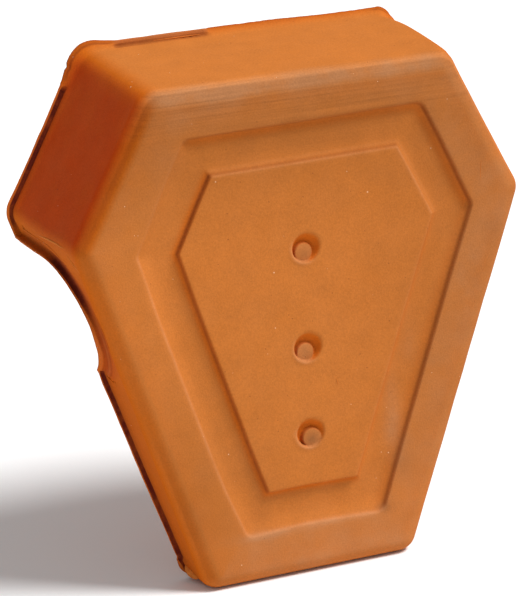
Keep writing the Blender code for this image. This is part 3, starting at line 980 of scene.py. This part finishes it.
# %% Move the points by slow noise
def wavering(scale, seed):
    """Slow noise at every point of the mesh, between about -1 and 1."""
    shift = Vector((seed, 0, 0))
    return np.array([noise.noise(Vector(place) * scale + shift) for place in places])


normals = np.array([tuple(vertex.normal) for vertex in tile_mesh.vertices])
zone = marks["zone"]
slow, middling, lumpy = wavering(0.013, 1.0), wavering(0.045, 7.0), wavering(0.12, 3.0)
front_move = slow * 0.25 + middling * 0.1
wall_move = slow * 0.5 + middling * 0.22
inside_move = slow * 0.7 + middling * 0.6 + lumpy * 0.25
moved = np.where(zone < 1, front_move + (wall_move - front_move) * np.clip(zone, 0, 1), wall_move)
moved = np.where(zone > 1.5, inside_move, moved)
standing = np.clip(places[:, 2] / 10, 0, 1)
places = places + normals * (moved * standing)[:, None]
tile_mesh.vertices.foreach_set("co", (places * MM).astype(np.float32).ravel())
print("moved by up to", round(float(np.abs(moved * standing).max()), 2), "mm")

# %% [markdown]
# ## Patches of scum and smoke, and painted shade and light
#
# Some marks don't follow the rows. Salts bloom in loose patches on the rim, and smoke has left a few dark
# smudges, also on the pegs. The front is painted a shade darker towards the top and the right, low on the
# left and a little at the foot, and a painted light makes the field a little paler in the lee of the rim,
# where the rim casts its shadow. The brush that smoothed the top rim left fine lines. Each patch is a soft
# ellipse: its middle across and up the front, its half width and half height, and its strength.

# %% Lay the patches over the front
BLOOM_PATCHES = [
    (-86, 322, 22, 9, 0.15), (-10, 332, 60, 8, 0.2), (84, 322, 26, 12, 0.1), (-138, 236, 5, 7, 0.1),
    (140, 243, 11, 24, 0.15), (118, 180, 12, 40, 0.2), (61, 98, 6, 24, 0.55), (72, 150, 6, 14, 0.2),
    (102, 60, 14, 22, 0.25), (-12, 9, 26, 8, 0.3), (52, 12, 20, 9, 0.2), (-60, 330, 16, 7, 0.2),
    (-30, 34, 22, 2.6, 0.6), (18, 35, 20, 2.4, 0.5),
]
SMOKE_PATCHES = [
    (52, 37, 6, 3, 0.6), (120, 268, 10, 16, 0.15), (66, 66, 8, 14, 0.15), (134, 214, 8, 12, 0.15),
    (-96, 300, 10, 12, 0.1), (-2, 222, 5, 5, 0.35), (-2, 154.5, 5, 5, 0.35), (1, 95, 5, 5, 0.4),
]
front = (zone < 1) & (places[:, 1] < FACE_Y + 15)


def patches(table):
    total = np.zeros(len(places))
    for x, z, wide, high, strength in table:
        total += strength * np.exp(-(((places[:, 0] - x) / wide) ** 2) - ((places[:, 2] - z) / high) ** 2)
    return total * front


marks["bloom"] = marks["bloom"] + patches(BLOOM_PATCHES)
marks["smoke"] = patches(SMOKE_PATCHES)
x, y, z = places.T

# Painted darker towards the top, on the right, low on the left, and a little at the foot
painted_darkening = eased(z, 225, 318) * 0.22
painted_darkening += eased(x, 5, 120) * eased(z, 20, 120) * (1 - eased(z, 225, 310)) * 0.13
painted_darkening += 0.13 * np.exp(-(((x + 82) / 40) ** 2) - ((z - 75) / 75) ** 2)
painted_darkening += 0.05 * (1 - eased(z, 40, 150))

# Painted light: paler in the field close to the rim, along the top and the right sides, where the rim casts
# its shadow
in_field = eased(y - FACE_Y, 2.0, 4.5)
for side, gain in ((0, 0.1), (1, 0.08), (2, 0.03)):
    inset = (np.column_stack([x, z]) - CORNERS[side]) @ INWARDS[side]
    painted_darkening -= gain * in_field * np.exp(-(((inset - RIM[side] - 7) / 7) ** 2))

# Painted shade: the round edge is darker beside the upper left wall, on the side turned away from the sun
left_fillet_shade = 0.15 * np.exp(-(((zone - 0.5) / 0.35) ** 2)) * eased(-x, 85, 110) * eased(z, 215, 250)
marks["shade"] = 1 - painted_darkening * (zone < 0.6) - left_fillet_shade
marks["brushed"] = front * (0.3 * eased(z, 270, 300) + 0.7 * eased(z, 304, 318))
del marks["zone"]

for name, values in marks.items():
    mark = tile_mesh.attributes.new(name, "FLOAT", "POINT")
    mark.data.foreach_set("value", values.astype(np.float32))
tile_mesh.update()
tile_mesh.shade_smooth()


def new_object(name, data):
    """An object in the scene, at the origin."""
    made = bpy.data.objects.new(name, data)
    bpy.context.scene.collection.objects.link(made)
    return made


tile = new_object("clay_tile", tile_mesh)
print("triangles", sum(len(polygon.vertices) - 2 for polygon in tile_mesh.polygons))

# %% [markdown]
# ## Building trees of nodes
#
# The finishes and the small pieces are all trees of nodes. Trees could be made by hand in the node
# editor, but a tree that is written down can be read, repeated and changed. A few helpers keep it
# short: one makes any node with its inputs and settings, one makes an empty group.


# %% Helpers for trees of nodes
FLOAT, INTEGER, VECTOR = "NodeSocketFloat", "NodeSocketInt", "NodeSocketVector"
MATERIAL, GEOMETRY = "NodeSocketMaterial", "NodeSocketGeometry"


def node(tree, kind, inputs=None, **settings):
    """A new node with its settings. An input is a plain value or the output of another node."""
    made = tree.nodes.new(kind)
    for name, value in settings.items():
        setattr(made, name, value)
    for key, value in (inputs or {}).items():
        if isinstance(value, bpy.types.NodeSocket):
            tree.links.new(value, made.inputs[key])
        else:
            made.inputs[key].default_value = value
    return made


def math_node(tree, operation, *values, clamp=False):
    """The result of a Math node."""
    inputs = dict(enumerate(values))
    return node(tree, "ShaderNodeMath", inputs, operation=operation, use_clamp=clamp).outputs[0]


def summed(tree, total, *parts):
    """A total to which several values are added, each times its weight."""
    for value, weight in parts:
        total = math_node(tree, "MULTIPLY_ADD", value, weight, total)
    return total


def noise_node(tree, vector, scale, detail, roughness=0.55):
    inputs = {"Vector": vector, "Scale": scale, "Detail": detail, "Roughness": roughness}
    return node(tree, "ShaderNodeTexNoise", inputs).outputs["Fac"]


def empty_group(kind, name, inputs, outputs):
    """A group with named inputs (name, kind and maybe a value) and named outputs (name and kind)."""
    group = bpy.data.node_groups.new(name, kind)
    for label, socket_kind, *value in inputs:
        socket = group.interface.new_socket(label, in_out="INPUT", socket_type=socket_kind)
        if value:
            socket.default_value = value[0]
    for label, socket_kind in outputs:
        group.interface.new_socket(label, in_out="OUTPUT", socket_type=socket_kind)
    return group, group.nodes.new("NodeGroupInput").outputs, group.nodes.new("NodeGroupOutput").inputs


# %% [markdown]
# ## The effects of the finish, as groups
#
# Three effects are used more than once, so each is a node group that is built once. A group reads the place
# that it is given and puts out only masks and values. The first is the mottling of the clay: clouds from the
# fire, hand-sized unevenness, and the sandy grain, each a noise of its own size.

# %% Group 1: mottled clay
mottled_clay, given, out = empty_group(
    "ShaderNodeTree",
    "mottled_clay",
    [("Vector", VECTOR), ("Clouds", FLOAT, 9.0), ("Blotches", FLOAT, 55.0), ("Grain", FLOAT, 900.0)],
    [("Clouds", FLOAT), ("Blotches", FLOAT), ("Grain", FLOAT)],
)
for label, detail in (("Clouds", 3), ("Blotches", 4), ("Grain", 2)):
    fac = noise_node(mottled_clay, given["Vector"], given[label], detail)
    mottled_clay.links.new(math_node(mottled_clay, "MULTIPLY_ADD", fac, 2.4, -1.2), out[label])
print("mottled clay has", len(mottled_clay.nodes), "nodes")

# %% [markdown]
# Grit lies in the clay as single grains, so it isn't a noise but a field of cells, of which only a few
# hold a speck. A random colour of each cell says whether it does, and how large the speck is.

# %% Group 2: grit in the clay
grit_cells, given, out = empty_group(
    "ShaderNodeTree",
    "grit_cells",
    [("Vector", VECTOR), ("Cells", FLOAT, 300.0), ("Share", FLOAT, 0.1), ("Size", FLOAT, 0.3)],
    [("Grit", FLOAT)],
)
cells = node(grit_cells, "ShaderNodeTexVoronoi", {"Vector": given["Vector"], "Scale": given["Cells"]}).outputs
chance = node(grit_cells, "ShaderNodeSeparateColor", {"Color": cells["Color"]}).outputs
chosen = math_node(grit_cells, "LESS_THAN", chance["Red"], given["Share"])
reach = math_node(grit_cells, "MULTIPLY", given["Size"], chance["Green"])
distance = math_node(grit_cells, "DIVIDE", cells["Distance"], reach)
speck = math_node(grit_cells, "MULTIPLY", math_node(grit_cells, "SUBTRACT", 1.0, distance), 3.0, clamp=True)
grit_cells.links.new(math_node(grit_cells, "MULTIPLY", speck, chosen), out["Grit"])
print("grit has", len(grit_cells.nodes), "nodes")

# %% [markdown]
# The marks on the points are smooth, but a rubbed edge or a scummy patch never ends in a smooth line.
# The third group breaks a mark up with noise.

# %% Group 3: a mark broken up by noise
broken_mark, given, out = empty_group(
    "ShaderNodeTree",
    "broken_mark",
    [("Vector", VECTOR), ("Mark", FLOAT, 0.0), ("Scale", FLOAT, 60.0), ("Breakup", FLOAT, 1.0)],
    [("Mask", FLOAT)],
)
fac = noise_node(broken_mark, given["Vector"], given["Scale"], 5, 0.6)
swing = math_node(broken_mark, "MULTIPLY_ADD", fac, 3.0, -1.5)
factor = math_node(broken_mark, "MULTIPLY_ADD", swing, given["Breakup"], 1.0)
mask = math_node(broken_mark, "MULTIPLY", given["Mark"], factor, clamp=True)
broken_mark.links.new(mask, out["Mask"])
print("broken mark has", len(broken_mark.nodes), "nodes")

# %% [markdown]
# ## Fired clay
#
# The tile is one clay in two states: the smoothed front, fired to a soft orange, and the raw pressed walls,
# which are redder, with an ochre tone between the two. Over them come, in this order, the salt bloom, the
# smoke, the edges painted pale as wear and highlight, the painted crevice shade, and the grit, both pale lime
# and dark pits. The torn clay of the small burrs is the same clay without the marks, in paler tones that also
# serve as a painted highlight, so one function builds both.


# %% Build a clay finish from its colours
# The layers laid over the clay: bloom, smoke, painted wear and highlight, and painted crevice shade
LAYERS = [("bloom", 38.0, 0.75), ("smoke", 45.0, 0.9), ("wear_and_highlight", 120.0, 0.7), ("crevice_shade", 260.0, 0.25)]


def placed_group(tree, group, place, **inputs):
    """The outputs of a group that is placed in a material."""
    return node(tree, "ShaderNodeGroup", {"Vector": place, **inputs}, node_tree=group).outputs


def mixed(tree, below, above, mask):
    """One colour laid over another by a mask; a colour is three numbers or a node's output."""
    colours = [(*colour, 1) if isinstance(colour, tuple) else colour for colour in (below, above)]
    inputs = {0: mask, 6: colours[0], 7: colours[1]}
    return node(tree, "ShaderNodeMix", inputs, data_type="RGBA").outputs[2]


def attribute(tree, name):
    return node(tree, "ShaderNodeAttribute", attribute_name=name).outputs["Fac"]


def clay_finish(name, tones, grain=900.0, bump_depth=0.00022, has_marks=True):
    """Fired clay in these tones; only the tile's own skin has marks to read."""
    material = bpy.data.materials.new(name)
    material.use_nodes = True
    tree = material.node_tree
    place = node(tree, "ShaderNodeTexCoord").outputs["Object"]
    clay = placed_group(tree, mottled_clay, place, Grain=grain)
    pale = placed_group(tree, grit_cells, place, Cells=210.0, Share=0.02, Size=0.14)["Grit"]
    pits = placed_group(tree, grit_cells, place, Cells=420.0, Share=0.02, Size=0.26)["Grit"]
    clouds = math_node(tree, "MULTIPLY_ADD", clay["Clouds"], 0.5, 0.5, clamp=True)
    colour = mixed(tree, tones["front"], tones["front_deep"], clouds)
    light = summed(tree, 1.0, (clay["Grain"], 0.17), (clay["Blotches"], 0.1), (clay["Clouds"], 0.04))
    rough = summed(tree, 0.82, (clay["Blotches"], 0.05))
    height = summed(tree, 0.0, (clay["Blotches"], 0.5), (clay["Grain"], 0.35), (pits, -0.8), (pale, 0.5))

    if has_marks:
        masks = {}
        for mark, scale, breakup in [("raw", 30.0, 0.12), *LAYERS]:
            broken = {"Mark": attribute(tree, mark), "Scale": scale, "Breakup": breakup}
            masks[mark] = placed_group(tree, broken_mark, place, **broken)["Mask"]
        half_raw = math_node(tree, "MULTIPLY", masks["raw"], 2.0, clamp=True)
        all_raw = math_node(tree, "MULTIPLY_ADD", masks["raw"], 2.0, -1.0, clamp=True)
        colour = mixed(tree, mixed(tree, colour, tones["ochre"], half_raw), tones["raw"], all_raw)
        for mark, _, _ in LAYERS:
            colour = mixed(tree, colour, tones[mark], masks[mark])
        stretched = node(tree, "ShaderNodeMapping", {"Vector": place, "Scale": (12, 12, 700)}).outputs[0]
        lines = math_node(tree, "MULTIPLY_ADD", noise_node(tree, stretched, 1.0, 3), 2.4, -1.2)
        brushed = math_node(tree, "MULTIPLY", lines, attribute(tree, "brushed"))
        # The shade mark brings in the front's painted darkening and painted light
        light = math_node(tree, "MULTIPLY", summed(tree, light, (brushed, 0.2)), attribute(tree, "shade"))
        rough = summed(tree, rough, (masks["bloom"], 0.08), (masks["wear_and_highlight"], -0.1))
        height = summed(tree, height, (brushed, 0.35))

    colour = mixed(tree, colour, tones["lime"], math_node(tree, "MULTIPLY", pale, 0.75))
    colour = mixed(tree, colour, tones["pit"], math_node(tree, "MULTIPLY", pits, 0.5))
    toned = node(tree, "ShaderNodeHueSaturation", {"Color": colour, "Value": light})
    bumps = node(tree, "ShaderNodeBump", {"Height": height, "Distance": bump_depth, "Strength": 0.7})
    shader = tree.nodes["Principled BSDF"]
    tree.links.new(toned.outputs["Color"], shader.inputs["Base Color"])
    tree.links.new(rough, shader.inputs["Roughness"])
    tree.links.new(bumps.outputs["Normal"], shader.inputs["Normal"])
    shader.inputs["Specular IOR Level"].default_value = 0.05
    print(name, "has", len(tree.nodes), "nodes")
    return material


# %% [markdown]
# The tones were set by comparing a small place of the render with the same place of the photograph,
# and changing one tone at a time. They are linear colours, so they look darker here than on the tile.

# %% Give the tile its finish
CLAY_TONES = {
    "front": (0.52, 0.16, 0.028),
    "front_deep": (0.495, 0.144, 0.022),
    "ochre": (0.55, 0.112, 0.002),
    "raw": (0.485, 0.047, 0.001),
    "bloom": (0.46, 0.19, 0.074),
    "smoke": (0.2, 0.08, 0.032),
    # Painted pale wear and highlight for edges that face the light
    "wear_and_highlight": (0.58, 0.24, 0.1),
    # Painted shade for creases, trenches, inner corners and the shaded sides of steps
    "crevice_shade": (0.11, 0.013, 0.006),
    "lime": (0.8, 0.5, 0.3),
    "pit": (0.16, 0.035, 0.014),
}
tile_mesh.materials.append(clay_finish("fired_clay_finish", CLAY_TONES))

# %% [markdown]
# ## Burrs and drag marks
#
# Where the trimming wire left the clay, it dragged up thin ridges beside the notch and along the lip,
# and at the foot of the left side it left a lump. A few scratches run over the front. All are the same
# thing, a thread of clay that follows a path and tapers to nothing. Each could be modelled by hand, but
# one Geometry Nodes tree makes them all: it samples the path, shakes it a little, and sweeps a circle
# of tapering size along it.


# %% Build the tree for a tapered thread of clay
def chain(tree, start, *steps):
    """Pass a geometry through new nodes, each a kind and its inputs, and give back the end."""
    for kind, inputs in steps:
        made = node(tree, kind, inputs)
        tree.links.new(start, made.inputs[0])
        start = made.outputs[0]
    return start


clay_thread, given, out = empty_group(
    "GeometryNodeTree",
    "clay_thread",
    [
        ("Geometry", GEOMETRY),
        ("Thickness", FLOAT),
        ("Shake", FLOAT),
        ("Samples", INTEGER),
        ("Clay", MATERIAL),
    ],
    [("Geometry", GEOMETRY)],
)
where = node(clay_thread, "GeometryNodeInputPosition").outputs[0]
shaking = node(clay_thread, "ShaderNodeTexNoise", {"Vector": where, "Scale": 350.0}).outputs["Color"]
centred = node(clay_thread, "ShaderNodeVectorMath", {0: shaking, 1: (0.5, 0.5, 0.5)}, operation="SUBTRACT")
offset = {0: centred.outputs[0], "Scale": given["Shake"]}
offset = node(clay_thread, "ShaderNodeVectorMath", offset, operation="SCALE").outputs[0]
circle = node(clay_thread, "GeometryNodeCurvePrimitiveCircle", {"Resolution": 8, "Radius": 1.0}).outputs[0]
share = node(clay_thread, "GeometryNodeSplineParameter").outputs["Factor"]
taper = math_node(clay_thread, "SINE", math_node(clay_thread, "MULTIPLY", share, math.pi))
taper = math_node(clay_thread, "POWER", math_node(clay_thread, "MAXIMUM", taper, 0.002), 0.6)
width = math_node(clay_thread, "MULTIPLY", taper, given["Thickness"])
thread = chain(
    clay_thread,
    given["Geometry"],
    ("GeometryNodeResampleCurve", {"Count": given["Samples"]}),
    ("GeometryNodeSetPosition", {"Offset": offset}),
    ("GeometryNodeCurveToMesh", {"Profile Curve": circle, "Scale": width, "Fill Caps": True}),
    ("GeometryNodeSetShadeSmooth", {}),
    ("GeometryNodeRealizeInstances", {}),
    ("GeometryNodeSetMaterial", {"Material": given["Clay"]}),
)
clay_thread.links.new(thread, out["Geometry"])
print("the thread tree has", len(clay_thread.nodes), "nodes")

# %% [markdown]
# A tree works as a modifier on an object. Its result is kept as a plain mesh and the modifier is
# removed again, so that the finished scene holds nothing that has to be worked out later.


# %% Run a tree on an object and keep the result as a plain mesh
def made_by_tree(source, tree, values, name):
    """Evaluate a tree on an object, give back a plain mesh object, and remove the source."""
    modifier = source.modifiers.new(tree.name, "NODES")
    modifier.node_group = tree
    for item in tree.interface.items_tree:
        if item.in_out == "INPUT" and item.name in values:
            modifier[item.identifier] = values[item.name]
    graph = bpy.context.evaluated_depsgraph_get()
    mesh = bpy.data.meshes.new_from_object(source.evaluated_get(graph), depsgraph=graph)
    mesh.name = name
    source.modifiers.remove(modifier)
    bpy.data.objects.remove(source)
    return new_object(name, mesh)


def joined(pieces, name):
    """Several mesh objects as one."""
    bm = bmesh.new()
    for piece in pieces:
        bm.from_mesh(piece.data)
    bmesh.ops.recalc_face_normals(bm, faces=bm.faces)
    mesh = bpy.data.meshes.new(name)
    bm.to_mesh(mesh)
    bm.free()
    mesh.materials.append(pieces[0].data.materials[0])
    mesh.shade_smooth()
    for piece in pieces:
        bpy.data.objects.remove(piece)
    return new_object(name, mesh)


# %% [markdown]
# Each thread is given by its thickness and by a few points near the skin, in millimetres: across, back
# from the middle of the tile's depth, and up. The points are moved to the nearest place of the skin, so
# a thread always lies half sunk in the clay.

# %% Lay the threads on the tile
# Paler tones for the threads: partly pale clay, partly a painted highlight that shows them in the shade
PALE_HIGHLIGHT_TONES = {**CLAY_TONES, "front": (0.68, 0.22, 0.04), "front_deep": (0.56, 0.13, 0.02)}
pale_highlight_clay = clay_finish("pale_highlight_clay_finish", PALE_HIGHLIGHT_TONES, grain=1400.0, bump_depth=0.0002, has_marks=False)
THREADS = [
    (0.75, [(-157, 14.5, 239.3), (-156.9, -1.5, 241.2), (-156.5, -15.5, 242.1), (-155.9, -29.5, 242.1)]),
    (0.45, [(-155, -30, 238), (-152, -38, 233), (-148, -44, 229)]),
    (0.35, [(-60, 52, 346), (-40, 52, 346), (-25, 52, 346)]),
    (3.0, [(-82, -24, 10), (-81, -27, 6.5), (-80, -31, 4), (-79, -36, 3)]),
    (0.2, [(18.2, -53, 136), (18.9, -53, 132.7), (19.2, -53, 129.5)]),
    (0.16, [(124.5, -53.5, 267), (124, -53.5, 259), (124.2, -53.5, 252)]),
]
threads = []
for thickness, points in THREADS:
    curve = bpy.data.curves.new("thread_path", "CURVE")
    curve.dimensions = "3D"
    spline = curve.splines.new("POLY")
    spline.points.add(len(points) - 1)
    for spline_point, point in zip(spline.points, points):
        on_skin = tile.closest_point_on_mesh(Vector(point) * MM)[1]
        spline_point.co = (*on_skin, 1)
    values = {"Thickness": thickness * MM, "Shake": 0.5 * MM, "Samples": 40, "Clay": pale_highlight_clay}
    threads.append(made_by_tree(new_object("thread_path", curve), clay_thread, values, "thread"))
clay_threads = joined(threads, "clay_threads")
print("threads:", len(THREADS), "with", len(clay_threads.data.polygons), "faces")

# %% [markdown]
# ## Lime grit
#
# Grains of lime in the clay show as pale specks that stand a hair proud of the skin. A Geometry Nodes
# tree scatters them over the tile with a fixed seed, turns each to lie on the skin, flattens it, and
# keeps only real mesh.

# %% Build the tree that scatters the grit
lime_grit, given, out = empty_group(
    "GeometryNodeTree",
    "lime_grit",
    [
        ("Geometry", GEOMETRY),
        ("Per Square Metre", FLOAT),
        ("Smallest", FLOAT),
        ("Largest", FLOAT),
        ("Seed", INTEGER),
        ("Finish", MATERIAL),
    ],
    [("Geometry", GEOMETRY)],
)
spread = {"Mesh": given["Geometry"], "Density": given["Per Square Metre"], "Seed": given["Seed"]}
spread = node(lime_grit, "GeometryNodeDistributePointsOnFaces", spread).outputs
ball = node(lime_grit, "GeometryNodeMeshIcoSphere", {"Radius": 1.0, "Subdivisions": 1}).outputs["Mesh"]
flat_ball = node(lime_grit, "GeometryNodeTransform", {0: ball, "Scale": (1.0, 0.75, 0.4)}).outputs[0]
limits = {2: given["Smallest"], 3: given["Largest"], 8: given["Seed"]}
size = node(lime_grit, "FunctionNodeRandomValue", limits, data_type="FLOAT").outputs[1]
grains = {"Instance": flat_ball, "Rotation": spread["Rotation"], "Scale": size}
grains = chain(
    lime_grit,
    spread["Points"],
    ("GeometryNodeInstanceOnPoints", grains),
    ("GeometryNodeRealizeInstances", {}),
    ("GeometryNodeSetMaterial", {"Material": given["Finish"]}),
)
lime_grit.links.new(grains, out["Geometry"])
print("the grit tree has", len(lime_grit.nodes), "nodes")

# %% [markdown]
# The lime itself is chalky: pale, matt, and mottled by the same group as the clay, only finer.

# %% Scatter the grit
lime = bpy.data.materials.new("lime_finish")
lime.use_nodes = True
tree = lime.node_tree
place = node(tree, "ShaderNodeTexCoord").outputs["Object"]
chalk = placed_group(tree, mottled_clay, place, Blotches=160.0, Grain=2500.0)
paler = math_node(tree, "MULTIPLY_ADD", chalk["Blotches"], 0.5, 0.5, clamp=True)
shader = tree.nodes["Principled BSDF"]
tree.links.new(mixed(tree, (0.72, 0.4, 0.2), (0.85, 0.62, 0.42), paler), shader.inputs["Base Color"])
tree.links.new(summed(tree, 0.85, (chalk["Grain"], 0.06)), shader.inputs["Roughness"])
shader.inputs["Specular IOR Level"].default_value = 0.2

values = {"Per Square Metre": 260.0, "Smallest": 0.12 * MM, "Largest": 0.36 * MM, "Seed": 5, "Finish": lime}
grit = made_by_tree(new_object("grit_bed", tile_mesh), lime_grit, values, "lime_grit")
BALL_POINTS = 12
print("grains:", len(grit.data.vertices) // BALL_POINTS)

# %% [markdown]
# ## Telling the frame what the pieces are
#
# The tile, its threads and its grit are fixed to each other. The skin replaces the imported solid.

# %% Ride and replace
for piece in (tile, clay_threads, grit):
    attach(piece, "root")
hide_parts("clay_end_tile")
print("on the root body:", tile.name, clay_threads.name, grit.name)

# %% [markdown]
# ## The studio
#
# The photograph was taken on white, in soft light from the upper right, with the white below throwing
# light back on the lower sides. A wide sun and a weak even sky do this. The floor is light enough to
# come out white, and the sky looks white to the camera, so the floor's end doesn't show in low views.

# %% Floor, sky and sun
FLOOR = 4
floor_mesh = bpy.data.meshes.new("studio_floor")
floor_corners = [(-FLOOR, -FLOOR, 0), (FLOOR, -FLOOR, 0), (FLOOR, FLOOR, 0), (-FLOOR, FLOOR, 0)]
floor_mesh.from_pydata(floor_corners, [], [(0, 1, 2, 3)])
paper = bpy.data.materials.new("white_paper")
paper.use_nodes = True
paper_shader = paper.node_tree.nodes["Principled BSDF"]
paper_shader.inputs["Base Color"].default_value = (0.9, 0.9, 0.9, 1)
paper_shader.inputs["Roughness"].default_value = 1.0
paper_shader.inputs["Specular IOR Level"].default_value = 0.0
floor_mesh.materials.append(paper)
new_object("studio_floor", floor_mesh)

SKY = 0.4
world = bpy.data.worlds.new("studio_sky")
world.use_nodes = True
sky = world.node_tree.nodes["Background"]
sky.inputs["Color"].default_value = (1, 1, 1, 1)
rays = node(world.node_tree, "ShaderNodeLightPath").outputs
seen = math_node(world.node_tree, "MULTIPLY_ADD", rays["Is Camera Ray"], 1 - SKY, SKY)
world.node_tree.links.new(seen, sky.inputs["Strength"])
bpy.context.scene.world = world

SUN_FROM = Vector((0.5, -0.4, 0.96))
sun_light = bpy.data.lights.new("soft_sun", "SUN")
sun_light.energy = 3.6
sun_light.angle = math.radians(20)
sun = new_object("soft_sun", sun_light)
sun.rotation_euler = (-SUN_FROM).to_track_quat("-Z", "Y").to_euler()
print("the sun stands", round(math.degrees(math.asin(SUN_FROM.normalized().z))), "degrees high")

# %% [markdown]
# ## The camera
#
# The photograph was taken from the left and a little above, with a long lens. The place, the direction,
# the slight tilt and the focal length, in pixels of the photograph, were fitted to the corners of the
# front.

# %% Camera
AZIMUTH, ELEVATION, ROLL = math.radians(-23.42), math.radians(18.76), math.radians(-1.58)
CAMERA_PLACE = Vector((-0.7669, -1.7484, 0.8248))
FOCAL_PIXELS, PHOTO_HEIGHT, SENSOR = 3071, 596, 36
flat = math.cos(ELEVATION)
back = Vector((math.sin(AZIMUTH) * flat, -math.cos(AZIMUTH) * flat, math.sin(ELEVATION)))
level_right = (-back).cross(Vector((0, 0, 1))).normalized()
level_up = level_right.cross(-back)
right = level_right * math.cos(ROLL) + level_up * math.sin(ROLL)
up = level_up * math.cos(ROLL) - level_right * math.sin(ROLL)
camera_data = bpy.data.cameras.new("photo_camera")
camera_data.sensor_fit = "VERTICAL"
camera_data.sensor_height = SENSOR
camera_data.lens = FOCAL_PIXELS * SENSOR / PHOTO_HEIGHT
camera = new_object("photo_camera", camera_data)
camera.matrix_world = Matrix.Translation(CAMERA_PLACE) @ Matrix((right, up, back)).transposed().to_4x4()
bpy.context.scene.camera = camera
bpy.context.scene.view_settings.view_transform = "Standard"
print("the lens has", round(camera_data.lens), "mm and stands", round(CAMERA_PLACE.length, 2), "m away")
